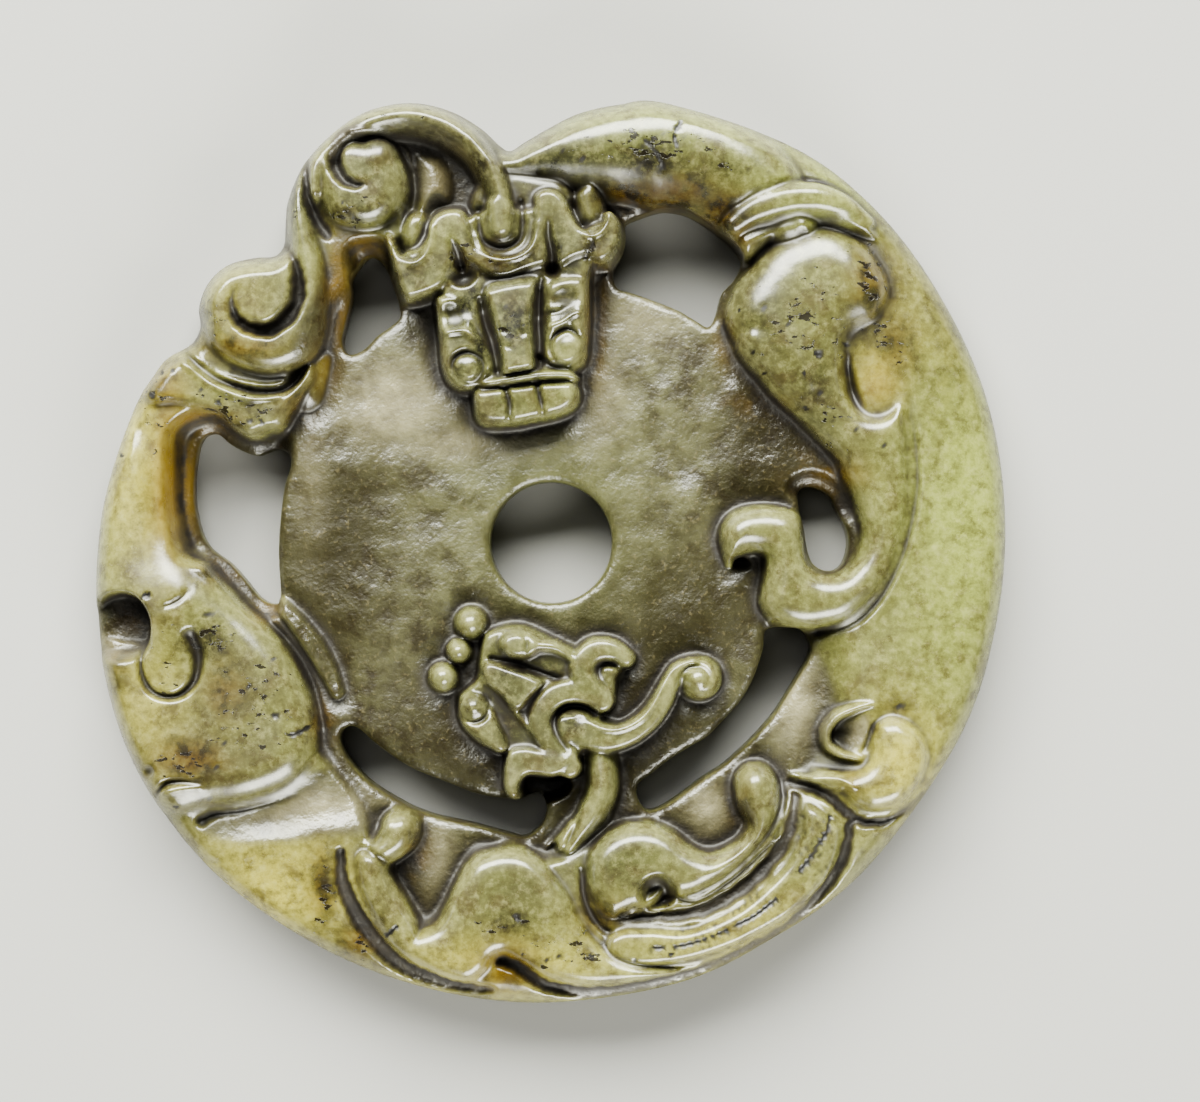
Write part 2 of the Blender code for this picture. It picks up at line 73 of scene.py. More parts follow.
SCROLLS_EDGE = [(-26.0, 12.0), (-25.1, 13.0), (-23.7, 13.8), (-23.1, 14.9), (-23.2, 16.2), (-22.6, 17.8),
    (-21.3, 19.0), (-19.5, 19.5), (-18.2, 19.6), (-17.6, 20.3), (-17.5, 21.7), (-17.3, 23.2),
    (-16.3, 25.5), (-14.9, 27.1), (-13.0, 28.6), (-11.1, 29.4), (-8.8, 29.65), (-6.5, 29.1), (-4.6, 28.0),
    (-3.4, 26.9), (-2.7, 26.5), (-1.9, 27.0), (-0.4, 27.9), (1.8, 29.0), (4.5, 29.6)]

side = int(round(2 * HALF_NET / CELL)) + 1
places = np.linspace(-HALF_NET, HALF_NET, side)
X, Y = np.meshgrid(places, places)


def eased(points, closed=False, spacing=0.22):
    """A smooth line through given points."""
    knots = np.array(points, float)
    if closed:
        knots = np.vstack([knots[-1], knots, knots[:2]])
    else:
        knots = np.vstack([2 * knots[0] - knots[1], knots, 2 * knots[-1] - knots[-2]])
    line = []
    for before, start, end, after in zip(knots, knots[1:], knots[2:], knots[3:]):
        count = max(2, int(np.hypot(*(end - start)) / spacing))
        t = np.linspace(0, 1, count, endpoint=False)[:, None]
        line.append(0.5 * (2 * start + (end - before) * t
                           + (2 * before - 5 * start + 4 * end - after) * t ** 2
                           + (3 * start - before - 3 * end + after) * t ** 3))
    last = knots[1] if closed else knots[-2]
    return np.vstack(line + [last[None]])


def patch(low, high):
    """The part of the net between two corners."""
    first = np.clip(((np.array(low) + HALF_NET) / CELL).astype(int), 0, side - 1)
    last = np.clip(((np.array(high) + HALF_NET) / CELL).astype(int) + 2, 1, side)
    return slice(first[1], last[1]), slice(first[0], last[0])


def beside(points, reach, closed=False):
    """How far each place is from a smooth line, how far along it, and on which side."""
    line = eased(points, closed)
    steps = np.hypot(*np.diff(line, axis=0).T)
    shares = np.concatenate([[0], np.cumsum(steps)]) / steps.sum()
    here = patch(line.min(axis=0) - reach, line.max(axis=0) + reach)
    away = np.full(X[here].shape, float(reach))
    along = np.zeros(away.shape)
    hand = np.ones(away.shape)
    row, column = here[0].start, here[1].start
    for a, b, from_share, to_share in zip(line, line[1:], shares, shares[1:]):
        rows, columns = patch(np.minimum(a, b) - reach, np.maximum(a, b) + reach)
        small = (slice(rows.start - row, rows.stop - row),
                 slice(columns.start - column, columns.stop - column))
        x = X[rows, columns] - a[0]
        y = Y[rows, columns] - a[1]
        dx, dy = b - a
        length = max(dx * dx + dy * dy, 1e-9)
        t = np.clip((x * dx + y * dy) / length, 0, 1)
        gone = np.hypot(x - t * dx, y - t * dy)
        nearer = gone < away[small]
        away[small] = np.where(nearer, gone, away[small])
        along[small] = np.where(nearer, from_share + t * (to_share - from_share), along[small])
        hand[small] = np.where(nearer, np.sign(dx * y - dy * x + 1e-12), hand[small])
    return here, away, along, hand


def inside(points, reach):
    """How deep each place is inside a smooth closed outline; outside it is below zero."""
    here, away, _, _ = beside(points, reach, closed=True)
    x, y = X[here], Y[here]
    line = eased(points, closed=True)
    within = np.zeros(x.shape, bool)
    for (ax, ay), (bx, by) in zip(line, line[1:]):
        if ay != by:
            within ^= ((ay > y) != (by > y)) & (x < (bx - ax) * (y - ay) / (by - ay) + ax)
    return here, np.where(within, away, -away)


def ease(share):
    """A share from 0 to 1 that starts and ends level."""
    share = np.clip(share, 0, 1)
    return share * share * (3 - 2 * share)


def sink(points, floor, slope):
    """Ground taken down to a floor inside an outline, with its sides eased up over a slope."""
    here, depth = inside(points, slope + 0.3)
    ground = floor + (heights[here] - floor) * ease(-depth / slope)
    heights[here] = np.minimum(heights[here], ground)


ring_line = [(r * math.cos(math.radians(a)), r * math.sin(math.radians(a))) for a, r in RING_RADII.items()]
outline = ring_line + SCROLLS_EDGE
here, outer_depth_here = inside(outline, EDGE_REACH)
outer_depth = np.full(X.shape, -EDGE_REACH)
outer_depth[here] = outer_depth_here

# The band swells gently and the field inside it is a low dome
radius = np.hypot(X, Y)
heights = BAND_TOP - FALL_OUTWARD * np.clip(radius - BAND_MIDDLE, 0, 6) ** 2
heights -= FALL_INWARD * np.clip(BAND_MIDDLE - radius, 0, 8) ** 2
field_edge = [(-16.6, 10.5), (-14.8, 14.5), (-12.0, 18.0), (-8.0, 20.5), (-2.0, 22.5), (4.0, 23.4),
    (9.0, 23.2), (13.5, 20.0), (17.5, 15.0), (19.5, 9.0), (20.0, 3.0), (18.5, -3.0), (17.0, -5.2),
    (15.6, -9.0), (15.5, -12.5), (15.0, -14.8), (13.2, -18.0), (10.0, -19.4), (6.6, -17.8), (3.4, -17.6),
    (0.2, -19.2), (-3.0, -19.0), (-5.2, -19.1), (-6.6, -21.4), (-7.6, -23.2), (-8.4, -23.7),
    (-9.2, -22.4), (-10.4, -20.2), (-11.2, -18.0), (-12.6, -15.4), (-15.0, -12.0), (-16.2, -7.2),
    (-18.4, -4.3), (-20.6, -2.0), (-23.0, 1.5), (-23.6, 5.0), (-22.5, 8.0), (-19.0, 8.0)]
dome = FIELD_TOP - FIELD_FALL * ((X - FIELD_CENTRE[0]) ** 2 + (Y - FIELD_CENTRE[1]) ** 2)
here, depth = inside(field_edge, 1.4)
field_share = np.zeros(X.shape)
field_share[here] = ease((depth + FIELD_SLOPE) / FIELD_SLOPE)
field = np.maximum(dome, FIELD_EDGE)
heights = heights * (1 - field_share) + np.minimum(heights, field) * field_share

# The lower right ground falls slowly from the band to the slot, and the lower left ground
# rises southward from the foot of the haunch
sink(
    [(15.0, -5.0), (17.0, -6.4), (17.2, -9.5), (17.4, -12.0), (16.4, -13.8), (14.6, -13.4),
     (14.0, -10.0)], 3.9, 3.2)
sink(
    [(-13.4, -13.4), (-15.6, -15.4), (-19.0, -16.7), (-22.3, -17.3), (-22.6, -17.8), (-19.0, -17.4),
     (-15.2, -16.6), (-12.6, -16.0)], 4.55, 1.6)

# The openwork: the cord hole and the gaps that a drill and a string saw opened between the forms.
# Each wall is upright or slopes back under a rounded lip.
HOLE_PLACE = (0.0, 0.75)
HOLE_RADIUS = 3.97
openings = {
    "upper_left": [(-12.2, 19.5), (-13.1, 18.2), (-13.1, 17.0), (-13.4, 15.5), (-13.7, 14.0),
        (-13.3, 13.1), (-12.3, 13.4), (-11.4, 14.3), (-10.3, 15.1), (-9.9, 15.8), (-10.4, 17.6),
        (-10.9, 18.8), (-11.5, 19.5)],
    "upper_right": [(4.9, 21.7), (5.9, 22.2), (7.4, 22.6), (9.0, 22.3), (10.5, 21.4), (11.8, 20.3),
        (12.5, 19.2), (12.0, 18.0), (11.2, 17.1), (10.8, 15.7), (10.3, 14.9), (9.5, 15.3), (8.3, 16.0),
        (6.8, 16.6), (5.4, 17.1), (4.3, 17.5), (4.1, 18.6), (4.6, 19.5), (4.9, 20.6)],
    "left": [(-23.2, 7.3), (-22.2, 7.95), (-21.0, 7.1), (-19.5, 6.5), (-18.2, 6.9), (-17.3, 6.6),
        (-17.1, 5.8), (-17.5, 4.4), (-17.8, 2.0), (-17.9, 0.0), (-17.8, -2.8), (-18.3, -3.3),
        (-19.2, -2.9), (-20.2, -1.7), (-21.2, -0.6), (-22.7, 0.6), (-23.4, 2.4), (-23.6, 4.6)],
    "right": [(16.2, 4.0), (16.7, 4.4), (17.5, 4.3), (18.3, 3.8), (18.7, 3.0), (19.2, 2.0), (19.5, 1.0),
        (19.4, 0.0), (19.0, -0.8), (18.4, -1.1), (17.7, -1.0), (17.1, -0.5), (16.8, 0.4), (16.6, 1.6),
        (16.3, 2.8)],
    "lower_right": [(14.1, -5.0), (15.2, -4.8), (16.4, -5.0), (17.0, -6.0), (16.8, -6.9), (16.3, -7.8),
        (15.5, -9.1), (14.6, -10.5), (13.2, -12.1), (11.5, -13.7), (10.0, -14.7), (8.5, -15.8),
        (7.3, -16.6), (6.4, -16.9), (5.9, -16.5), (5.6, -15.7), (5.8, -15.0), (6.5, -14.5), (7.6, -13.6),
        (9.0, -12.7), (10.2, -12.0), (11.3, -10.9), (12.3, -9.8), (13.0, -8.7), (13.5, -7.5),
        (13.9, -6.2)],
    "lower_left": [(-13.8, -11.8), (-12.9, -11.3), (-11.4, -12.5), (-9.4, -13.9), (-7.0, -14.9),
        (-4.6, -15.8), (-2.2, -16.1), (-0.9, -15.8), (-0.3, -16.6), (-0.7, -17.8), (-1.7, -18.6),
        (-2.8, -18.4), (-5.0, -17.8), (-8.0, -17.1), (-10.0, -16.2), (-12.0, -14.9), (-13.4, -13.3)],
}

# The large dragon's neck lies over the top of the ring, with its shoulder and foreleg on the right.
# The leg runs down beside the band and its foot hooks back onto the field.
# Forms stand up from the ground with rounded edges; grooves are cut by a small wheel.
FOOT = 3.4
FAR = 9.0
gap = np.full(X.shape, FAR)


def graded(values, along):
    """A size that changes along a line, given at even steps."""
    values = np.atleast_1d(values)
    return np.interp(along, np.linspace(0, 1, len(values)), values)


def swell(share, fullness=2.2):
    """The rounded rise of a ground form, from its edge at 0 to its top at 1."""
    share = np.clip(share, 0, 1)
    return (1 - (1 - share) ** fullness) ** (1 / fullness)


def higher(old, new, soft=0.08):
    """The higher of two grounds, with the inner corner between them filled a little."""
    return 0.5 * (old + new + np.sqrt((old - new) ** 2 + soft ** 2))


def lay_form(points, top, rounding, fullness=2.2, tilt=(0.0, 0.0), foot=FOOT):
    """A form that stands up from its outline with rounded edges, its top level or tilted."""
    here, depth = inside(points, max(rounding, 1.5) + 0.2)
    centre = np.mean(points, axis=0)
    level = top + tilt[0] * (X[here] - centre[0]) + tilt[1] * (Y[here] - centre[1])
    rise = foot + (level - foot) * swell(depth / rounding, fullness)
    heights[here] = np.where(depth > 0, higher(heights[here], rise), heights[here])
    gap[here] = np.minimum(gap[here], np.clip(-depth, 0, FAR))


def lay_strand(points, widths, tops, fullness=2.2, lean=0.0, foot=FOOT):
    """A rounded strand along a line; lean moves its crest to the line's left (+) or right (-)."""
    here, away, along, hand = beside(points, max(widths) / 2 + 1.5)
    half = graded(widths, along) / 2
    across = hand * away / half
    share = np.where(across > lean, (1 - across) / (1 - lean), (1 + across) / (1 + lean))
    rise = foot + (graded(tops, along) - foot) * swell(share, fullness)
    heights[here] = np.where(away < half, higher(heights[here], rise), heights[here])
    gap[here] = np.minimum(gap[here], np.clip(away - half, 0, FAR))


def cut_line(points, widths, depths, closed=False):
    """A wheel-cut groove with a round floor."""
    here, away, along, _ = beside(points, np.max(widths) / 2, closed)
    share = np.clip(1 - (away / (graded(widths, along) / 2)) ** 2, 0, 1)
    heights[here] -= graded(depths, along) * share


def raise_line(points, widths, rise):
    """A thin ridge left standing between two cuts."""
    here, away, along, _ = beside(points, np.max(widths) / 2)
    share = np.clip(1 - (away / (graded(widths, along) / 2)) ** 2, 0, 1)
    heights[here] += rise * share


def hollow(x, y, length, width, turn, depth):
    """A round-bottomed hollow, with its long way turned by some degrees."""
    reach = max(length, width) / 2
    here = patch((x - reach, y - reach), (x + reach, y + reach))
    c, s = math.cos(math.radians(turn)), math.sin(math.radians(turn))
    u = ((X[here] - x) * c + (Y[here] - y) * s) / (length / 2)
    v = ((Y[here] - y) * c - (X[here] - x) * s) / (width / 2)
    heights[here] -= depth * np.clip(1 - u * u - v * v, 0, 1)


lay_strand(
    [(-3.0, 25.3), (-0.5, 25.7), (3.0, 26.2), (6.5, 26.3), (10.0, 25.6), (13.2, 23.8), (15.5, 21.8)],
    [2.6, 4.6, 6.4, 7.6, 7.8, 7.2, 5.0], [6.2, 6.6, 6.9, 7.0, 7.0, 6.8, 6.4], 1.9, 0.12)
leg = [(12.0, 13.4), (13.6, 11.3), (14.7, 10.0), (16.0, 8.8), (17.4, 7.4), (18.5, 6.2), (19.0, 5.0),
    (19.6, 3.8), (20.0, 2.5), (20.2, 1.2), (19.9, 0.0), (19.0, -1.0), (18.0, -1.2), (17.2, -0.9),
    (16.7, -0.2), (16.5, 1.0), (16.3, 2.4), (15.5, 3.0), (14.3, 3.25), (13.0, 3.2), (12.0, 2.9),
    (11.2, 2.2), (10.9, 1.2), (11.1, 0.1), (11.6, -0.9), (12.2, -0.3), (13.0, 0.0), (13.7, -0.2),
    (13.8, -1.0), (13.6, -2.4), (13.6, -3.4), (14.2, -4.3), (15.2, -4.8), (16.5, -5.0), (18.0, -4.85),
    (19.5, -4.4), (21.1, -3.1), (22.0, -1.8), (22.8, 0.0), (23.3, 1.8), (23.6, 4.0), (23.5, 7.0),
    (23.3, 10.0), (22.9, 12.4), (22.6, 12.0), (22.4, 10.6), (21.8, 9.6), (21.0, 9.3), (20.2, 9.6),
    (19.6, 10.6), (19.4, 12.0), (19.3, 13.6), (16.5, 16.0), (12.6, 15.2)]
lay_form(leg, 6.2, 1.6, 2.1, (-0.06, 0.012))
shoulder = [(11.3, 15.4), (11.5, 16.5), (12.0, 17.6), (12.7, 18.6), (13.6, 19.8), (14.6, 20.7),
    (15.8, 21.3), (17.2, 21.7), (18.6, 21.5), (20.0, 20.8), (21.0, 19.9), (21.8, 18.7), (22.3, 17.4),
    (22.2, 16.3), (21.4, 14.9), (20.0, 13.9), (19.3, 12.6), (18.4, 10.0), (16.4, 8.9), (14.7, 10.3),
    (12.9, 12.3), (11.8, 13.9)]
lay_form(shoulder, 6.75, 3.2, 2.1, (0.02, -0.02))
sink(
    [(19.7, 13.6), (19.7, 11.6), (20.2, 10.3), (21.0, 9.8), (21.8, 10.1), (22.2, 11.2), (22.6, 13.2),
     (21.6, 14.2), (20.4, 14.2)], 5.2, 1.4)
lay_form(
    [(11.4, 20.4), (12.2, 22.6), (13.6, 23.6), (16.0, 24.0), (18.6, 23.4), (20.6, 21.8), (21.4, 20.4),
     (19.6, 20.6), (17.0, 21.0), (14.4, 20.0), (12.6, 18.8)], 6.05, 1.3, 2.0)
lay_strand(
    [(11.9, 21.3), (13.0, 22.1), (14.3, 22.6), (15.8, 22.9), (17.4, 22.9), (19.0, 22.5), (20.6, 21.6)],
    [1.6, 2.3, 2.6, 2.4, 1.8, 0.9], [6.6, 6.9, 6.95, 6.8, 6.3, 5.5], 2.0, 0.1, 5.6)
cut_line(
    [(12.2, 22.6), (13.4, 23.4), (15.0, 23.9), (17.0, 24.1), (19.0, 23.6), (20.8, 22.4), (22.2, 20.9)],
    [0.5, 0.9, 1.0, 0.8, 0.5], [0.1, 0.2, 0.2, 0.1, 0.03])
cut_line(
    [(11.6, 20.0), (12.6, 20.7), (13.8, 21.2), (15.3, 21.7), (16.9, 21.9), (18.6, 21.7), (20.2, 21.0)],
    [0.6, 1.1, 1.1, 0.9, 0.5], [0.1, 0.3, 0.3, 0.2, 0.05])
cut_line(
    [(23.2, 10.4), (23.6, 8.0), (23.8, 6.0), (23.8, 4.5), (23.6, 3.0), (23.3, 1.5), (22.9, 0.0),
     (22.1, -1.8), (21.2, -3.2), (20.2, -4.2), (18.9, -4.9), (17.4, -5.2)],
    [0.35, 0.4, 0.4, 0.45, 0.5, 0.6, 0.5], [0.12, 0.2, 0.22, 0.25, 0.28, 0.3, 0.2])
raise_line([(24.0, 8.0), (24.2, 5.0), (24.0, 2.6), (23.2, 0.0), (22.0, -2.6), (20.4, -4.6)],
    [0.4, 0.6, 0.5], 0.1)
raise_line([(12.6, 12.6), (13.7, 11.2), (15.0, 9.9), (16.3, 8.7), (17.6, 7.4), (18.5, 6.2)],
    [0.3, 0.45, 0.45, 0.3], 0.3)
hollow(12.3, -0.5, 1.8, 1.0, -20, 0.9)

# The large dragon's crest strap rises from the crown, runs along the ring's edge and rolls into a curl.
# The mane comes down beside it and rolls the other way, over a bridge to the band.
channel = np.zeros(X.shape)


def cut_channel(points, widths, depths, wall=0.3):
    """A wider cut with a flat, unpolished floor that keeps grey dirt."""
    here, away, along, _ = beside(points, np.max(widths) / 2 + 0.1)
    uneven = 0.04 * np.sin(3.1 * X[here] + 2.3 * Y[here]) + 0.03 * np.sin(7.3 * Y[here] - 5.9 * X[here])
    share = ease((graded(widths, along) / 2 - away + uneven) / wall)
    heights[here] -= graded(depths, along) * share
    channel[here] = np.maximum(channel[here], share)


def lay_knob(x, y, width, top, fullness=2.0, foot=FOOT):
    """A round knob."""
    here = patch((x - width, y - width), (x + width, y + width))
    away = np.hypot(X[here] - x, Y[here] - y)
    rise = foot + (top - foot) * swell(1 - away / (width / 2), fullness)
    heights[here] = np.where(away < width / 2, higher(heights[here], rise), heights[here])
    gap[here] = np.minimum(gap[here], np.clip(away - width / 2, 0, FAR))


sink(
    [(-13.2, 27.2), (-11.0, 27.9), (-8.4, 28.0), (-6.3, 27.4), (-5.2, 25.8), (-4.7, 24.0), (-4.5, 22.4),
     (-6.0, 22.8), (-7.4, 22.6), (-8.3, 21.6), (-8.8, 20.6), (-9.4, 21.2), (-9.0, 23.5), (-9.6, 25.8),
     (-11.2, 27.0)], 4.1, 0.5)
lay_form(
    [(-9.2, 26.3), (-8.4, 26.4), (-7.0, 26.0), (-6.2, 24.4), (-6.4, 22.8), (-7.4, 22.4), (-8.4, 21.2),
     (-9.2, 21.4), (-9.0, 23.4)], 5.3, 1.6, 1.6, (0.05, -0.12))
lay_strand(
    [(-16.2, 26.0), (-16.6, 24.4), (-16.6, 22.6), (-16.3, 20.8), (-15.8, 19.2), (-15.6, 17.6),
     (-15.8, 16.0)], [1.4, 1.9, 2.1, 2.4, 2.6, 2.7], [6.3, 6.5, 6.6, 6.6, 6.5], 2.0, 0.1)
scroll = [(-17.6, 19.9), (-18.8, 19.6), (-20.2, 19.4), (-21.5, 18.9), (-22.6, 17.8), (-23.1, 16.4),
    (-23.0, 15.0), (-22.5, 13.6), (-21.5, 12.5), (-20.0, 11.7), (-18.4, 11.4), (-16.8, 11.7),
    (-15.5, 12.5), (-14.8, 13.8), (-14.5, 15.4), (-14.4, 17.0), (-14.6, 18.8), (-15.4, 20.4),
    (-16.8, 20.8)]
lay_form(scroll, 6.6, 1.7, 2.1)
cut_channel(
    [(-17.2, 20.0), (-16.5, 18.8), (-16.3, 17.4), (-16.5, 16.1), (-17.2, 15.1), (-18.3, 14.5),
     (-19.4, 14.6), (-20.3, 15.3), (-20.6, 16.3), (-20.4, 17.1)],
    [0.6, 0.9, 1.2, 1.3, 1.3, 1.3, 1.2, 1.1, 0.8, 0.4],
    [0.5, 0.9, 1.3, 1.4, 1.4, 1.3, 1.2, 1.0, 0.6, 0.3], 0.45)
lay_form(
    [(-15.7, 26.0), (-15.6, 24.4), (-15.4, 23.1), (-14.8, 21.9), (-13.8, 21.1), (-12.2, 20.8),
     (-10.8, 21.1), (-9.7, 22.0), (-9.1, 23.2), (-9.1, 24.6), (-9.7, 26.0), (-11.0, 26.9), (-12.8, 27.2),
     (-14.6, 27.0)], 6.75, 1.7, 2.1)
cut_channel(
    [(-12.4, 27.4), (-13.4, 27.0), (-13.9, 26.0), (-13.8, 24.9), (-13.2, 24.1), (-12.2, 23.8),
     (-11.5, 24.1)], [1.3, 1.4, 1.4, 1.3, 1.1, 0.8, 0.3], [1.6, 1.6, 1.5, 1.4, 1.1, 0.7, 0.3], 0.5)
lay_knob(-11.3, 25.5, 3.2, 6.85, 2.0, 4.6)
lay_strand(
    [(-3.2, 22.0), (-3.4, 23.2), (-3.9, 24.6), (-4.8, 26.1), (-6.0, 27.2), (-7.6, 28.0), (-9.4, 28.35),
     (-11.4, 28.1), (-13.2, 27.4), (-14.5, 26.3), (-15.1, 25.0), (-15.1, 23.4)],
    [2.2, 2.25, 2.3, 2.5, 2.7, 2.8, 2.8, 2.6, 2.2, 1.5], [7.3, 7.3, 7.2, 7.1, 7.0, 6.9, 6.8, 6.6], 1.9,
    -0.25)
raise_line([(-13.0, 27.3), (-11.8, 27.3), (-10.6, 27.1), (-9.6, 26.4), (-9.0, 25.2)], [0.3, 0.4, 0.3],
    0.3)
cut_channel([(-15.8, 26.2), (-15.9, 24.6), (-15.8, 23.2), (-15.2, 21.8), (-14.5, 20.8)],
    [0.5, 0.8, 0.9, 0.9], [0.5, 0.7, 0.8, 0.5])
bridge = [(-25.4, 12.2), (-23.8, 13.0), (-22.0, 11.6), (-19.6, 10.7), (-17.6, 10.7), (-16.4, 11.4),
    (-15.6, 12.6), (-15.4, 11.6), (-15.9, 10.5), (-16.7, 9.2), (-17.4, 8.1), (-18.6, 7.4), (-19.8, 7.5),
    (-20.8, 8.1), (-21.6, 8.8), (-22.9, 9.2), (-24.4, 9.5), (-26.2, 9.6), (-27.0, 10.6)]
lay_form(bridge, 5.75, 0.9, 2.2)
lay_form([(-16.8, 12.4), (-15.6, 13.2), (-14.5, 13.0), (-14.7, 11.4), (-15.2, 9.8), (-16.4, 9.6)], 4.7,
    1.8, 1.6)
raise_line(
    [(-23.8, 13.6), (-23.0, 12.7), (-22.0, 11.8), (-20.8, 11.3), (-19.5, 11.0), (-18.3, 10.9),
     (-17.2, 11.1)], [0.4, 0.5, 0.5, 0.4], 0.35)
raise_line(
    [(-24.3, 12.9), (-23.2, 12.0), (-22.0, 11.1), (-21.0, 10.6), (-19.9, 10.2), (-18.9, 10.05),
     (-17.6, 10.2)], [0.5, 0.6, 0.6, 0.4], 0.4)
cut_line([(-24.0, 13.3), (-22.9, 12.4), (-21.4, 11.4), (-19.6, 10.7), (-17.8, 10.6), (-16.5, 11.2)],
    [0.3, 0.35, 0.35, 0.3], [0.3, 0.35, 0.35, 0.2])

# The large dragon's head is seen from above: a crest of waves, a flat nose plate between cheek and
# brow, two ringed eyes and a square snout with its teeth cut as grooves.
crest = [(-10.6, 20.9), (-10.1, 20.3), (-9.7, 19.5), (-9.1, 19.1), (-8.5, 19.3), (-8.1, 20.1),
    (-8.0, 21.2), (-7.6, 21.9), (-6.9, 22.3), (-6.1, 22.4), (-5.4, 22.1), (-5.0, 21.0), (-4.6, 20.0),
    (-4.0, 19.5), (-3.1, 19.3), (-2.2, 19.5), (-1.5, 20.0), (-1.2, 21.0), (-1.2, 22.4), (-1.1, 23.3),
    (-0.4, 23.7), (0.4, 23.6), (1.1, 23.0), (1.6, 21.9), (2.1, 21.1), (2.8, 20.9), (3.3, 21.4),
    (3.4, 22.1), (3.9, 22.3), (4.4, 21.8), (4.7, 20.9), (4.5, 19.8), (4.0, 19.0), (3.2, 18.6),
    (2.3, 19.0), (1.5, 18.8), (0.8, 18.4), (-0.4, 18.4), (-1.4, 18.1), (-2.8, 17.6), (-4.0, 17.7),
    (-5.0, 18.4), (-5.8, 18.7), (-6.3, 18.2), (-6.6, 17.4), (-7.2, 16.9), (-8.2, 16.5), (-9.3, 16.3),
    (-9.8, 16.9), (-10.2, 18.2), (-10.7, 19.8)]
head_block = [(-9.6, 19.6), (-8.6, 20.0), (-7.6, 21.4), (-5.8, 21.8), (-4.9, 22.2), (-3.6, 22.6),
    (-1.4, 22.6), (-0.2, 23.2), (1.0, 22.4), (1.8, 21.2), (3.0, 21.6), (3.9, 21.8), (4.1, 20.2),
    (3.2, 19.2), (2.7, 18.2), (2.6, 15.0), (2.4, 12.6), (1.7, 11.6), (1.6, 9.8), (-0.8, 8.9), (-4.4, 8.7),
    (-4.8, 10.4), (-6.4, 10.9), (-7.2, 12.6), (-7.4, 15.4), (-7.2, 16.6), (-9.2, 16.8), (-10.0, 18.4)]
lay_form(
    [(-10.0, 21.2), (-9.8, 19.8), (-9.0, 19.2), (-8.3, 19.5), (-7.8, 20.8), (-7.9, 22.2), (-9.2, 22.4)],
    5.6, 1.0, 2.0)
lay_form([(1.4, 23.6), (1.6, 21.6), (2.6, 20.8), (3.5, 21.4), (3.6, 23.0), (2.8, 24.6)], 5.7, 1.0, 2.0)
lay_form([(-5.0, 22.0), (-4.8, 24.2), (-3.0, 25.0), (-0.8, 24.8), (0.8, 24.4), (1.6, 23.0), (0.0, 21.4)],
    5.9, 0.9)
lay_form(head_block, 6.6, 0.6, 2.3)
lay_form(crest, 7.15, 0.55, 2.4)
lay_form(
    [(-4.3, 22.8), (-4.3, 21.2), (-4.0, 20.4), (-3.2, 20.05), (-2.4, 20.4), (-2.1, 21.2), (-2.2, 22.8),
     (-3.3, 23.6)], 7.35, 0.8, 2.2)
cut_line(
    [(-4.6, 22.4), (-4.6, 21.2), (-4.3, 20.2), (-3.2, 19.75), (-2.1, 20.2), (-1.8, 21.2), (-1.9, 22.8)],
    [0.35, 0.45, 0.35], [0.4, 0.6, 0.4])
for rim in (
        [(-10.3, 20.5), (-9.7, 19.3), (-9.0, 18.8), (-8.3, 19.1), (-7.8, 20.1), (-7.6, 21.2)],
        [(-4.8, 20.6), (-4.3, 19.4), (-3.1, 19.0), (-1.9, 19.2), (-1.1, 20.0), (-0.9, 21.4)],
        [(1.8, 21.2), (2.5, 20.5), (3.2, 20.7), (3.6, 21.4), (3.8, 22.3)]):
    raise_line(rim, [0.3, 0.5, 0.5, 0.3], 0.35)
cut_line([(-5.8, 18.6), (-6.0, 19.4), (-6.3, 20.1)], [0.8, 0.8, 0.4], [1.2, 0.9, 0.3])
hollow(-5.6, 17.9, 1.9, 1.4, 20, 0.9)
hollow(0.2, 18.2, 1.5, 1.1, 0, 0.25)
cut_line([(0.1, 18.4), (0.1, 19.4), (-0.1, 20.4), (-0.1, 21.3)], [1.0, 0.8, 0.6, 0.3],
    [1.3, 1.1, 0.7, 0.3])
cut_line([(2.3, 19.2), (2.7, 20.0), (2.6, 20.6)], [0.4, 0.3], [0.4, 0.2])
cheek = [(-7.6, 16.7), (-7.5, 15.2), (-7.3, 13.6), (-7.2, 12.3), (-6.8, 11.2), (-6.0, 10.6), (-5.1, 10.5),
    (-4.3, 10.9), (-3.7, 11.6), (-3.7, 12.6), (-4.1, 13.7), (-4.6, 14.8), (-5.0, 15.8), (-5.6, 16.6),
    (-6.5, 17.0)]
lay_form(cheek, 7.2, 0.8, 2.3, (0.03, -0.06))
brow = [(-0.5, 17.4), (0.3, 18.0), (1.5, 18.2), (2.4, 17.9), (2.6, 16.4), (2.5, 14.8), (2.5, 13.2),
    (2.0, 12.2), (1.2, 11.7), (0.3, 11.8), (-0.4, 12.2), (-0.6, 13.4), (-0.6, 15.4)]
lay_form(brow, 7.25, 0.8, 2.3, (0.0, -0.05))
nose = [(-4.4, 17.2), (-2.6, 17.9), (-0.6, 17.9), (-0.8, 17.0), (-1.0, 15.0), (-0.9, 13.0), (-0.9, 11.9),
    (-2.0, 11.6), (-3.2, 11.5), (-3.2, 12.2), (-3.4, 13.2), (-3.7, 14.4), (-4.0, 15.6)]
lay_form(nose, 7.75, 0.55, 2.6, (0.0, -0.07))
cut_line([(-4.2, 17.0), (-2.4, 17.5), (-0.6, 17.6)], [0.5, 0.6, 0.5], [0.35, 0.4, 0.35])
cut_line([(-4.5, 16.3), (-4.2, 15.0), (-3.8, 13.8), (-3.5, 12.6), (-3.4, 11.7)], [0.5, 0.6, 0.5],
    [0.8, 0.9, 0.7])
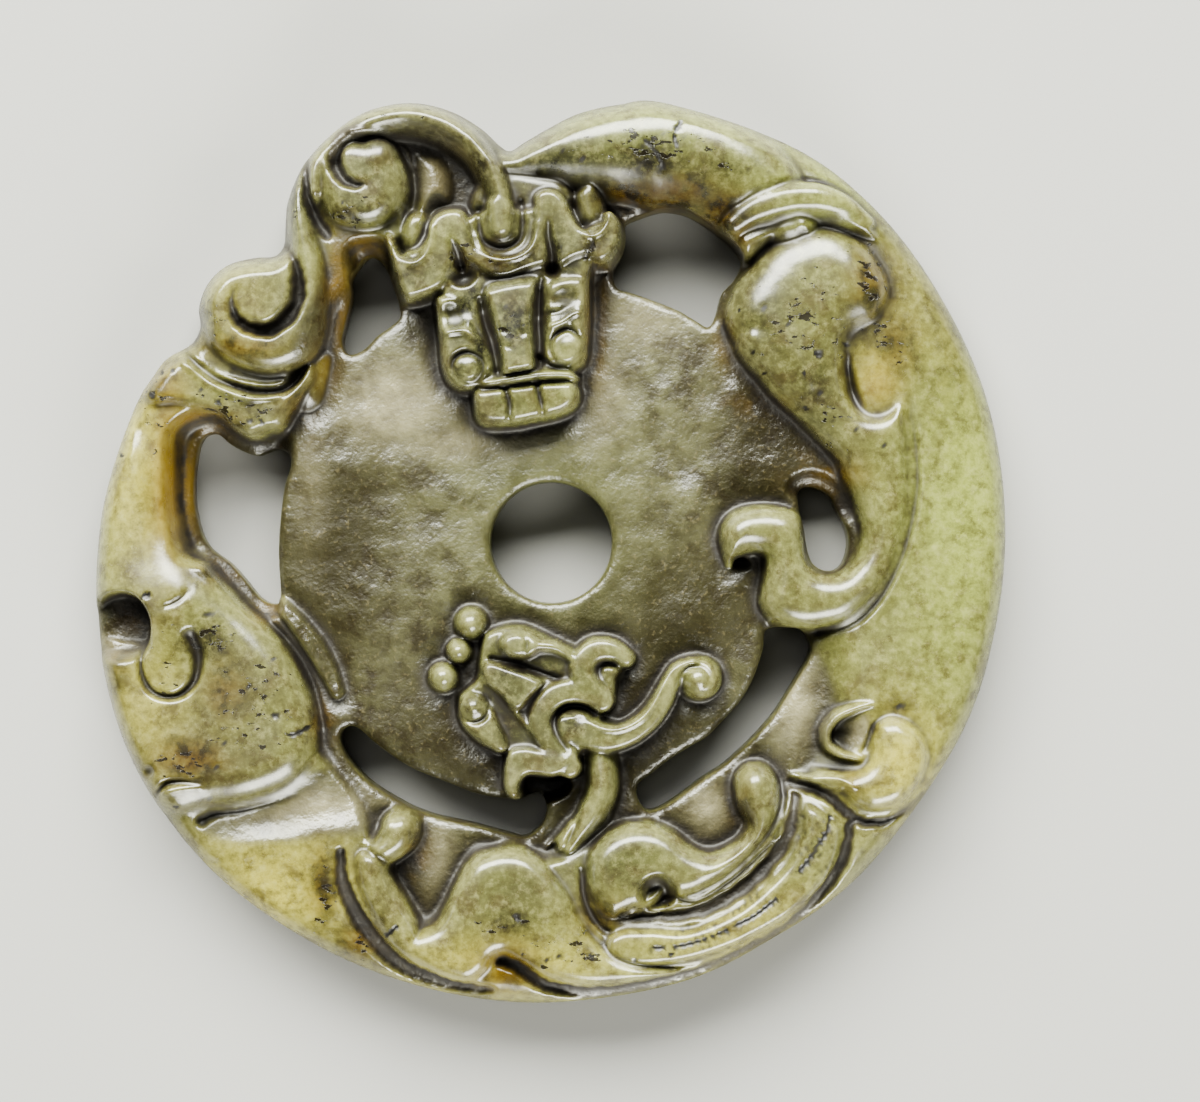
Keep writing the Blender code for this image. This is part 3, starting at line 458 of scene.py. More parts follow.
raise_line([(-4.3, 15.6), (-3.9, 14.2), (-3.5, 12.9), (-3.35, 12.0)], [0.25, 0.25], 0.4)
cut_line([(-0.7, 17.2), (-0.75, 15.5), (-0.7, 13.8), (-0.65, 12.2)], [0.5, 0.55, 0.5], [0.8, 0.9, 0.7])
raise_line([(-0.7, 15.2), (-0.7, 13.8), (-0.6, 12.6)], [0.22, 0.22], 0.4)
hollow(-6.2, 15.4, 2.2, 2.0, 0, 0.7)
hollow(1.0, 16.4, 2.4, 1.5, 10, 0.35)
raise_line([(-6.7, 14.2), (-5.6, 14.35), (-4.8, 13.9), (-4.2, 13.1), (-3.95, 12.1)], [0.4, 0.5, 0.4], 0.4)
raise_line([(-0.1, 14.6), (0.8, 14.9), (1.5, 15.4), (2.1, 15.5)], [0.3, 0.45, 0.3], 0.35)
cut_line([(-0.2, 15.5), (0.6, 15.6), (1.4, 16.0)], [0.3, 0.35, 0.2], [0.35, 0.35, 0.15])
cut_line(
    [(-5.3, 13.0), (-6.2, 12.6), (-6.3, 11.8), (-5.8, 11.2), (-5.0, 11.1), (-4.4, 11.7), (-4.4, 12.5)],
    [0.4, 0.4], [0.6, 0.6], closed=True)
lay_knob(-5.3, 12.1, 1.7, 7.5, 2.0, 6.2)
cut_line([(1.2, 14.5), (0.2, 14.0), (0.0, 13.2), (0.4, 12.4), (1.2, 12.2), (2.0, 12.7), (2.2, 13.6)],
    [0.35, 0.35], [0.55, 0.55], closed=True)
lay_knob(1.15, 13.4, 1.9, 7.5, 2.0, 6.2)
cut_line([(-0.9, 12.7), (0.0, 12.2), (0.9, 11.8)], [0.4, 0.4], [0.5, 0.4])
for wrinkle in ([(-3.4, 14.3), (-2.9, 14.3), (-2.6, 13.9)], [(-3.3, 13.6), (-2.8, 13.3), (-2.3, 13.2)],
        [(-1.9, 14.0), (-1.6, 14.2), (-1.2, 14.2)]):
    cut_line(wrinkle, [0.2, 0.3, 0.15], [0.15, 0.2, 0.1])
snout = [(-5.1, 10.7), (-4.0, 10.9), (-2.6, 11.1), (-1.0, 11.3), (0.6, 11.4), (1.6, 11.3), (2.0, 10.4),
    (1.7, 9.5), (0.8, 8.9), (-0.8, 8.5), (-2.4, 8.2), (-4.2, 8.2), (-4.9, 8.7), (-5.1, 9.6)]
lay_form(snout, 6.95, 0.75, 2.3, (0.0, 0.1))
lay_strand([(-4.2, 11.0), (-2.8, 11.2), (-1.0, 11.5), (0.8, 11.6), (1.6, 11.4)], [0.5, 0.6, 0.6, 0.5],
    [7.0, 7.35, 7.4, 7.1], 2.0, 0.0, 6.0)
cut_line([(-4.4, 10.6), (-2.6, 10.75), (-0.6, 11.05), (1.2, 11.1)], [0.25, 0.3, 0.25], [0.2, 0.25, 0.2])
cut_line([(-3.0, 10.8), (-2.75, 10.2), (-2.6, 9.4), (-2.7, 8.6)], [0.3, 0.5, 0.4, 0.3],
    [0.4, 0.7, 0.6, 0.3])
cut_line([(-0.9, 11.2), (-0.75, 10.4), (-0.55, 9.5), (-0.5, 8.9)], [0.3, 0.45, 0.4, 0.3],
    [0.4, 0.7, 0.6, 0.3])

# The small dragon climbs onto the field from the ring below, its head turned to the left.
# Its mouth is three knobs, its mane a strap of folded ribbons, and one horn ends in a rolled ball.
small_block = [(-4.4, -5.2), (-3.4, -4.7), (-2.0, -4.5), (-0.6, -5.0), (0.6, -5.6), (2.2, -6.1),
    (3.2, -5.6), (4.6, -6.0), (5.2, -7.0), (4.4, -8.0), (4.2, -9.4), (3.4, -10.6), (4.6, -11.2),
    (2.6, -12.4), (1.6, -13.6), (0.6, -14.3), (-1.6, -14.3), (-2.5, -15.6), (-3.0, -14.4), (-2.9, -13.0),
    (-4.4, -12.6), (-5.8, -11.3), (-6.1, -9.9), (-5.6, -8.8), (-4.9, -8.0), (-4.7, -6.6)]
lay_form(small_block, 5.3, 0.5, 2.2)
for x, y, width in ((-5.2, -4.5, 2.3), (-6.0, -6.3, 1.8), (-7.0, -8.0, 2.1)):
    lay_knob(x, y, width, 5.85, 2.1)
lay_form(
    [(-3.5, -5.9), (-3.1, -5.1), (-2.2, -4.8), (-1.2, -5.0), (-0.5, -5.6), (-0.6, -6.4), (-1.5, -6.9),
     (-2.8, -6.8)], 6.3, 0.7, 2.3)
cut_line([(-1.9, -5.1), (-1.5, -5.7), (-1.7, -6.5)], [0.25, 0.3, 0.2], [0.3, 0.35, 0.2])
lay_strand([(-0.9, -5.9), (0.2, -6.0), (1.1, -6.5), (1.7, -7.2)], [1.2, 1.1, 0.9, 0.8],
    [6.2, 6.1, 5.9, 5.7])
lay_form(
    [(-4.5, -7.9), (-4.1, -6.9), (-2.6, -7.3), (-1.0, -7.9), (-0.4, -8.4), (-1.2, -9.3), (-2.1, -10.2),
     (-3.2, -9.2)], 6.15, 0.35, 2.6)
cut_line([(-3.9, -6.8), (-2.4, -7.1), (-0.6, -7.7), (0.9, -8.3), (1.9, -8.7)], [0.4, 0.5, 0.4],
    [0.5, 0.6, 0.4])
raise_line([(-4.4, -8.1), (-3.3, -9.0), (-2.5, -9.9), (-1.8, -10.8), (-1.1, -11.7)], [0.3, 0.35, 0.3],
    0.5)
cheek_low = [(-5.9, -9.1), (-5.2, -8.8), (-4.4, -8.9), (-3.8, -9.7), (-3.3, -10.8), (-2.8, -11.8),
    (-2.7, -12.8), (-3.4, -13.0), (-4.2, -12.5), (-5.0, -11.8), (-5.8, -11.1), (-6.1, -10.1)]
lay_form(cheek_low, 6.05, 0.55, 2.6)
cut_line([(-5.0, -9.0), (-5.9, -9.6), (-5.8, -10.5), (-5.0, -10.9), (-4.2, -10.5), (-4.1, -9.5)],
    [0.35, 0.35], [0.45, 0.45], closed=True)
lay_knob(-5.0, -9.9, 1.5, 6.5, 2.0, 5.2)
lay_strand(
    [(2.7, -9.2), (1.4, -8.9), (0.2, -9.3), (-0.5, -10.2), (-0.6, -11.1), (-0.1, -12.0), (0.7, -13.0),
     (1.2, -13.8)], [1.5, 1.8, 1.9, 1.8, 1.8, 1.9, 1.7], [5.8, 5.9, 5.95, 5.9, 5.8], 5.0, 0.1)
lay_strand([(4.9, -6.8), (4.1, -6.3), (3.1, -6.2), (2.3, -6.7), (2.0, -7.6), (2.4, -8.6), (3.3, -9.5)],
    [1.2, 1.5, 1.7, 1.8, 1.8, 2.0, 1.8], [5.6, 5.8, 5.9, 5.9, 5.8], 4.5)
cut_line([(4.8, -7.5), (3.9, -7.1), (3.2, -7.3), (3.2, -8.0)], [0.4, 0.6, 0.5, 0.3], [0.4, 0.6, 0.5, 0.2])
lay_strand(
    [(0.9, -11.3), (2.0, -11.6), (3.5, -12.0), (5.0, -11.7), (6.2, -10.9), (7.1, -9.8), (7.7, -8.6),
     (8.3, -7.6), (9.2, -7.2)], [1.9, 2.0, 1.8, 1.6, 1.5, 1.4, 1.2, 1.0],
    [5.75, 5.8, 5.75, 5.7, 5.7, 5.6], 5.0, 0.2)
lay_knob(9.7, -8.1, 3.0, 5.95, 2.0)
raise_line(
    [(1.2, -10.6), (2.0, -10.5), (2.9, -11.1), (4.0, -11.4), (5.0, -11.2), (6.0, -10.6), (6.6, -9.8),
     (7.1, -8.8), (7.5, -7.9), (8.0, -7.1), (8.8, -6.7), (9.6, -6.6)], [0.3, 0.4, 0.35, 0.3], 0.3)
cut_line([(8.2, -8.6), (8.5, -7.7), (9.1, -7.3), (9.9, -7.4), (10.3, -8.0), (10.0, -8.6)],
    [0.25, 0.35, 0.35, 0.25], [0.2, 0.45, 0.45, 0.2])
lay_knob(9.45, -8.1, 1.0, 6.0, 2.0, 5.4)
cut_line(
    [(2.9, -10.4), (2.0, -9.9), (1.0, -9.9), (0.35, -10.4), (0.2, -11.1), (0.5, -11.9), (1.1, -12.7)],
    [0.5, 0.6, 0.55, 0.4], [0.7, 0.8, 0.7, 0.4])
lay_form(
    [(-2.9, -12.9), (-1.9, -12.4), (-0.5, -12.6), (1.0, -12.9), (1.5, -13.3), (1.0, -14.1), (0.2, -14.5),
     (-1.5, -14.4), (-1.9, -15.2), (-2.0, -15.9), (-2.7, -15.9), (-3.1, -15.0)], 6.0, 0.4, 2.8)
sink([(-1.7, -14.9), (-0.2, -15.0), (0.9, -14.9), (0.8, -15.5), (-0.2, -15.9), (-1.4, -16.1)], 1.4, 0.4)
lay_strand([(3.2, -12.8), (3.4, -14.0), (3.4, -15.4), (2.9, -16.8), (2.2, -17.8), (1.1, -19.0)],
    [2.0, 2.1, 2.2, 2.2, 1.9, 1.6], [5.2, 5.5, 5.6, 5.6, 5.5, 5.3], 1.8, -0.15)
raise_line([(1.2, -17.5), (0.5, -18.4), (-0.3, -19.2)], [0.5, 0.6, 0.3], 0.5)
cut_line([(1.8, -17.4), (1.3, -18.4), (0.8, -19.3)], [0.4, 0.5, 0.4], [0.5, 0.6, 0.5])

# The small dragon's own haunch and hind leg lie on the ring, rolled round a drilled eye.
# The leg ends in a knob beside the slot.
haunch = [(2.1, -20.5), (2.3, -19.4), (3.0, -18.5), (4.0, -17.8), (5.2, -17.4), (6.6, -17.45),
    (8.0, -18.0), (9.2, -18.9), (10.2, -19.3), (11.2, -19.1), (12.2, -18.5), (12.7, -17.6), (12.2, -16.7),
    (11.9, -15.6), (12.0, -14.4), (12.8, -13.6), (13.8, -13.6), (14.6, -14.3), (15.0, -15.5),
    (14.9, -16.8), (14.4, -18.1), (13.5, -19.3), (12.3, -20.5), (11.0, -21.5), (9.4, -22.3), (8.2, -22.6),
    (7.0, -23.0), (5.4, -23.4), (4.0, -23.9), (3.0, -23.2), (2.3, -22.0)]
lay_form(haunch, 6.35, 1.5, 2.1)
hollow(6.95, -21.9, 2.7, 2.5, 0, 1.7)
lay_strand([(5.2, -23.3), (6.0, -22.8), (6.7, -22.3), (7.1, -21.9)], [1.2, 1.5, 1.6, 1.2],
    [5.5, 5.5, 5.4, 5.0], 1.6)
cut_line(
    [(8.0, -21.6), (8.3, -22.4), (9.4, -22.6), (10.8, -21.9), (12.2, -20.9), (13.4, -19.8), (14.5, -18.6),
     (15.1, -17.2), (15.3, -15.8)], [0.3, 0.35, 0.35, 0.3], [0.3, 0.4, 0.4, 0.3])
cut_channel(
    [(4.8, -23.8), (6.4, -23.6), (8.3, -23.5), (10.0, -23.1), (11.6, -22.3), (13.0, -21.3), (14.2, -20.1),
     (15.2, -18.7), (15.7, -17.2), (15.9, -15.8)], [0.5, 0.9, 1.2, 1.2, 1.1, 0.8],
    [0.3, 0.5, 0.6, 0.6, 0.5])
cut_line(
    [(2.0, -20.6), (2.1, -22.0), (2.5, -23.2), (3.2, -24.2), (4.3, -24.9), (5.8, -25.4), (7.4, -25.5),
     (9.0, -25.3)], [0.4, 0.5, 0.5, 0.4, 0.3], [0.4, 0.5, 0.5, 0.4, 0.3])

# The long wing sweeps under the haunch as one flat face of the same stone, ground level and
# polished; knife-thin lines part its feathers.
wing = [(16.3, -16.3), (17.2, -16.2), (18.2, -16.9), (19.0, -17.8), (18.9, -19.0), (18.5, -20.3),
    (17.9, -21.4), (17.0, -22.4), (15.6, -23.7), (13.4, -25.0), (11.0, -26.0), (8.4, -26.7), (5.6, -26.9),
    (3.8, -26.2), (3.4, -25.0), (4.5, -24.2), (6.5, -24.1), (8.4, -24.2), (10.0, -23.8), (12.2, -22.7),
    (14.2, -21.0), (15.4, -19.6), (16.1, -18.0)]
lay_form(wing, 5.9, 0.8, 2.2, (0.0, -0.01))

# The cloud scroll at the lower right has a round lobe, a hooked ridge and a cut flank, carved from
# the ring's own thickness and polished like it.
lobe = [(21.0, -10.6), (22.2, -10.2), (23.4, -10.6), (24.4, -11.6), (24.8, -12.9), (24.6, -14.2),
    (24.0, -15.4), (23.0, -16.4), (21.8, -16.9), (20.6, -17.0), (19.6, -16.5), (18.8, -15.8),
    (17.6, -15.1), (16.2, -14.7), (17.2, -14.1), (18.8, -13.9), (20.0, -13.6), (20.5, -12.8),
    (20.6, -11.6)]
lay_form(lobe, 6.35, 1.6, 2.1)
lay_strand(
    [(21.6, -9.8), (20.6, -9.8), (19.5, -10.1), (18.5, -10.6), (17.9, -11.5), (18.0, -12.4),
     (18.8, -13.0), (20.0, -13.3)], [0.5, 0.7, 0.8, 0.9, 0.9, 0.8, 0.7, 0.5],
    [5.15, 5.5, 5.7, 5.8, 5.8, 5.75, 5.7, 5.6])
hollow(19.5, -11.9, 2.4, 1.9, 30, 0.3)
cut_line([(21.8, -10.5), (21.1, -11.0), (20.7, -11.9), (20.4, -12.7)], [0.3, 0.45, 0.4],
    [0.05, 0.35, 0.4])
cut_channel(
    [(15.7, -15.0), (16.9, -15.3), (18.2, -15.9), (19.0, -16.6), (19.8, -17.2), (20.8, -17.5),
     (22.0, -17.3), (23.2, -16.7), (24.3, -15.7)], [0.7, 0.9, 0.9, 0.8, 0.5],
    [0.4, 0.55, 0.55, 0.45, 0.2])
raise_line([(15.7, -14.4), (16.8, -14.6), (17.8, -15.0), (18.8, -15.2)], [0.4, 0.5, 0.4], 0.35)
raise_line([(17.0, -14.0), (18.0, -14.2), (19.0, -14.6), (19.6, -15.2)], [0.3, 0.45, 0.3], 0.3)

# The ring's own creature: two swelling haunches and the bent foot between them, set off by a channel
# cut along the rim, with a looped groove and a cupped eye on the left.
left_haunch = [(-24.9, 6.5), (-24.9, 3.5), (-24.6, 2.0), (-24.0, 0.7), (-23.0, -0.5), (-21.6, -1.7),
    (-20.0, -3.2), (-18.4, -4.7), (-17.2, -6.1), (-16.2, -7.9), (-15.4, -10.0), (-15.1, -12.0),
    (-15.4, -13.6), (-16.4, -14.9), (-18.0, -15.8), (-20.2, -16.4), (-22.4, -16.7), (-24.6, -17.2),
    (-28.0, -16.5), (-32.0, -10.0), (-33.0, -2.0), (-32.0, 6.0), (-28.0, 10.0)]
lay_form(left_haunch, 5.95, 2.4, 2.1, (0.03, -0.03))
here = patch((-33.0, -12.0), (-16.0, 8.0))
heights[here] += 0.85 * np.exp(-((X[here] + 25.4) / 3.0) ** 2 - ((Y[here] + 3.2) / 3.0) ** 2)
cut_line([(-16.6, -15.7), (-18.4, -16.3), (-20.4, -16.8), (-22.0, -17.0), (-22.8, -17.4)],
    [0.3, 0.4, 0.5, 0.6, 1.0], [0.1, 0.15, 0.25, 0.35, 0.6])
cut_line(
    [(-20.2, -3.0), (-18.7, -4.2), (-17.5, -5.4), (-16.5, -6.7), (-15.7, -8.2), (-15.2, -9.8),
     (-14.9, -11.4)], [0.3, 0.4, 0.4, 0.4], [0.2, 0.4, 0.4, 0.3])
lay_strand([(-17.7, -3.3), (-16.6, -4.5), (-15.5, -6.0), (-14.6, -7.6), (-14.0, -9.0)],
    [0.9, 1.2, 1.4, 1.3, 0.9], [4.5, 4.7, 4.75, 4.7, 4.5], 3.4, -0.2)
cut_line([(-16.9, -4.0), (-15.6, -5.6), (-14.6, -7.2), (-14.1, -8.6)], [0.25, 0.35, 0.3], [0.2, 0.3, 0.2])
cut_line(
    [(-26.4, -5.9), (-26.6, -7.2), (-26.3, -8.3), (-25.7, -9.0), (-24.9, -9.25), (-24.0, -9.1),
     (-23.2, -8.4), (-22.9, -7.4), (-22.9, -6.3), (-23.3, -5.3)],
    [0.5, 0.5, 0.55, 0.55, 0.6, 0.7, 0.9, 1.1, 1.2], [0.8, 0.8, 0.7, 0.6, 0.6, 0.7, 0.9, 0.9, 0.7])
sink(
    [(-29.7, -3.8), (-28.8, -3.0), (-27.8, -2.75), (-26.8, -3.2), (-26.2, -4.4), (-26.4, -5.6),
     (-27.4, -5.7), (-28.6, -5.5), (-29.7, -5.2)], 3.6, 0.4)
sink([(-29.6, -5.3), (-27.8, -5.4), (-26.8, -5.5), (-26.9, -5.9), (-28.2, -6.1), (-29.4, -6.0)], 4.0, 1.1)
cut_line([(-25.2, -3.4), (-24.4, -3.2), (-23.6, -2.6), (-23.5, -2.1)], [0.25, 0.4, 0.2],
    [0.2, 0.35, 0.15])
hollow(-26.1, -14.1, 1.0, 0.9, 0, 0.5)
cut_line([(-26.2, -16.2), (-25.6, -15.5), (-24.9, -14.9), (-23.8, -14.75), (-22.3, -14.8)],
    [0.4, 0.6, 0.5, 0.4, 0.2], [0.4, 0.6, 0.5, 0.3, 0.1])
raise_line([(-25.0, -15.5), (-24.0, -15.2), (-22.6, -15.1)], [0.5, 0.5, 0.2], 0.2)
cut_line([(-23.6, -19.4), (-22.8, -20.0), (-21.9, -20.15), (-21.1, -20.1)], [0.5, 0.4, 0.15],
    [0.5, 0.4, 0.1])

bottom_haunch = [(-8.6, -24.3), (-7.5, -23.8), (-6.9, -22.8), (-6.3, -21.4), (-5.6, -20.2), (-4.8, -19.5),
    (-3.4, -19.05), (-2.2, -19.05), (-1.0, -19.5), (0.0, -20.3), (0.9, -21.3), (1.6, -22.4), (2.2, -23.6),
    (3.2, -24.9), (5.0, -26.0), (8.0, -26.8), (11.0, -26.3), (11.0, -26.8), (8.0, -27.6), (5.0, -28.2),
    (2.0, -28.3), (-0.2, -27.8), (-2.0, -26.8), (-3.3, -26.2), (-4.0, -27.2), (-5.2, -28.0),
    (-6.8, -27.8), (-8.6, -26.9), (-10.2, -25.8), (-10.6, -24.9)]
lay_form(bottom_haunch, 6.1, 1.4, 2.3)
foot = [(-11.0, -17.2), (-10.4, -16.7), (-9.4, -16.6), (-8.7, -17.2), (-8.5, -18.1), (-8.8, -19.0),
    (-9.5, -19.7), (-10.3, -20.3), (-10.2, -21.0), (-9.6, -22.1), (-9.0, -23.1), (-8.5, -24.0),
    (-8.2, -25.6), (-8.6, -26.9), (-9.8, -26.1), (-10.9, -25.1), (-11.8, -23.8), (-12.6, -22.2),
    (-13.0, -20.6), (-12.9, -19.5), (-12.2, -18.8), (-11.4, -18.2)]
lay_form(foot, 6.15, 1.3, 2.1)
raise_line([(-12.7, -21.6), (-12.2, -22.9), (-11.3, -24.2), (-10.2, -25.3), (-9.0, -26.3)],
    [0.3, 0.5, 0.5, 0.3], 0.2)
cut_line([(-11.9, -19.2), (-11.1, -19.7), (-10.3, -20.3)], [0.5, 0.8, 0.5], [0.3, 0.5, 0.3])
raise_line([(-12.1, -18.9), (-11.3, -18.2), (-10.6, -17.9), (-10.4, -17.0)], [0.3, 0.4, 0.3], 0.25)
raise_line([(-10.5, -20.2), (-9.9, -19.7), (-9.4, -19.4)], [0.3, 0.4, 0.2], 0.25)
cut_channel(
    [(-13.7, -19.4), (-13.6, -21.0), (-13.1, -22.6), (-12.3, -24.1), (-11.1, -25.7), (-9.8, -26.8),
     (-8.2, -27.6), (-6.6, -28.1), (-5.0, -28.35), (-3.9, -28.4)], [0.8, 1.2, 1.3, 1.3, 1.2, 1.0, 0.7],
    [0.6, 0.9, 1.0, 1.0, 0.9, 0.7, 0.4])
cut_channel(
    [(-3.2, -26.5), (-2.2, -26.9), (-1.2, -27.6), (0.2, -28.3), (2.0, -28.6), (4.0, -28.55), (6.2, -28.1),
     (8.6, -27.5), (11.0, -26.6), (13.4, -25.5), (15.6, -24.1), (17.4, -22.4), (18.7, -20.6),
     (19.3, -19.0), (19.4, -17.7)], [1.0, 1.0, 1.1, 1.0, 0.9, 0.8, 0.8, 0.8, 0.9, 1.0, 0.9],
    [0.8, 0.8, 0.9, 0.8, 0.7, 0.6, 0.6, 0.6, 0.7, 0.7, 0.6])

# The walls that lean back under the forms, seen from above as brown and yellow slopes, were left by
# the string saw and hardly polished
sink(
    [(-24.0, 7.6), (-22.4, 8.4), (-21.0, 7.4), (-19.5, 6.8), (-18.0, 7.2), (-18.5, 5.0), (-22.0, 1.0),
     (-23.3, 0.4), (-24.0, 2.4), (-24.2, 5.0)], 2.3, 1.3)
sink(
    [(-23.2, 0.5), (-22.0, -0.4), (-20.2, -2.4), (-18.8, -3.6), (-18.2, -3.2), (-20.0, -1.2),
     (-22.2, 0.9)], 2.6, 0.9)
sink([(-12.8, 19.6), (-12.0, 19.9), (-11.2, 19.8), (-10.8, 18.8), (-11.6, 18.6), (-12.6, 18.4)], 2.8, 0.8)
sink([(16.0, 4.3), (16.8, 4.8), (17.8, 4.6), (18.7, 3.9), (19.2, 2.8), (18.4, 3.0), (17.0, 3.8)], 2.8,
    0.9)

# The ground around the forms is scooped with a small wheel, which leaves them standing clear with
# a soft hollow at their feet
SCOOP_WIDTH = 0.85
SCOOP_DEPTH = 0.35
scoop = np.exp(-(gap / SCOOP_WIDTH) ** 2)
heights -= field_share * np.where(gap > 0, scoop, 0) * SCOOP_DEPTH

# Wear and damage: long handling has softened every edge, and the stone is pitted with open veins.
# Dashes are worn-out flecks in the stone; the larger ones keep black dirt.
HANDLING = 0.14


def softened(field, width):
    """The field rubbed smooth over a width, as by a polishing stick."""
    half = max(1, int(round(width / CELL / 2)))
    for axis in (0, 1, 0, 1, 0, 1):
        padded = np.concatenate([np.repeat(np.take(field, [0], axis), half + 1, axis), field,
                                 np.repeat(np.take(field, [-1], axis), half, axis)], axis)
        total = np.cumsum(padded, axis)
        count = field.shape[axis]
        field = (np.take(total, range(2 * half + 1, 2 * half + 1 + count), axis)
                 - np.take(total, range(count), axis)) / (2 * half + 1)
    return field


heights = softened(heights, HANDLING)
dirt = np.zeros(X.shape)
marks = [(13.7, 15.9, 0.5), (14.7, 17.2, 0.4), (15.3, 14.8, 0.5), (12.2, 15.8, 0.35), (17.3, 12.9, 0.9),
    (16.3, 11.6, 0.6), (17.4, 10.4, 0.6), (16.5, 9.4, 0.4), (18.1, 8.5, 0.4), (19.2, 13.6, 0.5),
    (13.1, 13.0, 0.5), (14.7, 12.3, 0.4), (19.7, 8.0, 0.4), (21.5, 7.0, 0.4), (13.9, 11.7, 0.4),
    (17.6, 15.5, 0.5), (-2.2, -23.5, 0.8), (-3.4, -23.8, 0.5), (-4.3, -23.6, 0.4), (-1.8, -25.9, 0.4),
    (-6.2, -25.6, 0.3), (0.6, -26.0, 0.5), (-0.3, -26.3, 0.3), (2.0, -26.9, 0.35), (2.4, -26.9, 0.3),
    (2.7, -26.0, 0.5), (3.0, -26.5, 0.35), (5.5, -26.3, 0.45), (7.8, -25.9, 0.6), (-26.1, -2.7, 0.9),
    (-22.1, -3.9, 0.7), (-17.8, -10.5, 0.7), (-21.0, -12.2, 0.35), (-21.6, -13.8, 0.4),
    (-17.3, -12.1, 0.3), (-22.0, -15.9, 0.4), (-24.3, -16.4, 0.45), (-17.9, -6.8, 0.4),
    (-19.5, -8.6, 0.3), (-25.9, 10.3, 0.9), (-25.3, 11.8, 0.5), (-24.5, 11.9, 0.5), (-26.3, 8.7, 0.5),
    (-28.0, 6.4, 0.6), (-19.5, 8.6, 0.6), (-18.7, 8.5, 0.5), (-21.5, 9.8, 0.6), (-22.6, 10.6, 0.4),
    (-13.4, 22.7, 0.5), (-12.7, 21.7, 0.4), (-14.0, 22.0, 0.3), (-2.2, 15.3, 0.4), (-1.7, 14.7, 0.35),
    (-2.8, 15.8, 0.3), (8.0, 26.9, 0.6), (8.3, 27.5, 0.4), (6.1, 26.6, 0.4), (7.0, 25.5, 0.5),
    (7.2, 24.9, 0.4), (10.2, 26.4, 0.4), (12.6, 24.7, 0.5), (11.6, 24.8, 0.35), (0.7, 26.0, 0.3),
    (2.0, 25.5, 0.35), (9.3, 28.7, 0.3), (11.8, 23.8, 0.35), (23.6, 17.8, 0.4), (22.7, -9.9, 0.6)]
dice = np.random.default_rng(7)


def mark(x, y, size, turn, depth, long=2.0):
    """One pit or open vein with dirt in it."""
    reach = size * long
    here = patch((x - reach, y - reach), (x + reach, y + reach))
    c, s = math.cos(turn), math.sin(turn)
    ripple = 1 + 0.3 * np.sin(9 * (X[here] + Y[here]) + x)
    u = ((X[here] - x) * c + (Y[here] - y) * s) / (size * long / 2)
    v = ((Y[here] - y) * c - (X[here] - x) * s) / (size / 2)
    share = np.clip(1 - (u * u + v * v) * ripple, 0, 1)
    heights[here] -= depth * share
    dirt[here] = np.maximum(dirt[here], np.clip(share * 2.2, 0, 1))


for x, y, size in marks:
    mark(x, y, size * 0.5, dice.uniform(-0.8, 0.8) - 0.5, 0.16 * size + 0.03, dice.uniform(1.2, 2.0))

# Where the stone is open with small flecks: place, spread across and along, how thick they are
pitted = np.zeros(X.shape)
for x, y, wide, tall, share in ((16.5, 15.0, 3.4, 4.4, 0.8), (20.6, 18.0, 1.8, 3.0, 1.0),
        (22.0, 14.0, 1.8, 2.8, 0.8), (6.5, 26.4, 5.5, 1.6, 0.9), (11.0, 24.6, 2.2, 1.6, 0.7),
        (-19.0, -10.0, 3.8, 5.0, 0.75), (-24.5, -7.0, 3.0, 5.6, 0.55), (-22.0, -5.4, 2.2, 1.2, 0.95),
        (-20.5, 9.6, 3.8, 1.6, 0.95), (-25.8, 9.6, 2.0, 3.0, 0.8), (-22.0, 15.4, 1.4, 2.6, 0.7),
        (-12.8, 22.0, 2.2, 1.2, 0.9), (0.6, -25.6, 4.6, 2.0, 0.8), (-3.2, -23.9, 1.8, 0.8, 1.0),
        (-5.0, 19.4, 3.6, 1.6, 0.8), (2.5, 20.0, 1.6, 1.6, 0.7), (18.0, 9.0, 2.6, 3.0, 0.7),
        (-14.8, -22.5, 1.0, 3.4, 0.9), (-12.2, -25.4, 1.0, 1.2, 1.0), (23.5, -13.0, 1.4, 2.4, 0.4),
        (-16.5, 23.6, 1.2, 3.0, 0.7), (-2.6, 14.6, 2.0, 2.4, 0.7), (-9.0, 28.4, 5.0, 1.0, 0.5),
        (6.0, -23.4, 3.0, 1.0, 0.8), (-28.0, 1.5, 1.4, 4.0, 0.5), (-24.0, -13.4, 2.2, 1.6, 0.9)):
    here = patch((x - 2 * wide, y - 2 * tall), (x + 2 * wide, y + 2 * tall))
    near = np.exp(-((X[here] - x) / wide) ** 2 - ((Y[here] - y) / tall) ** 2)
    pitted[here] = np.maximum(pitted[here], share * near)

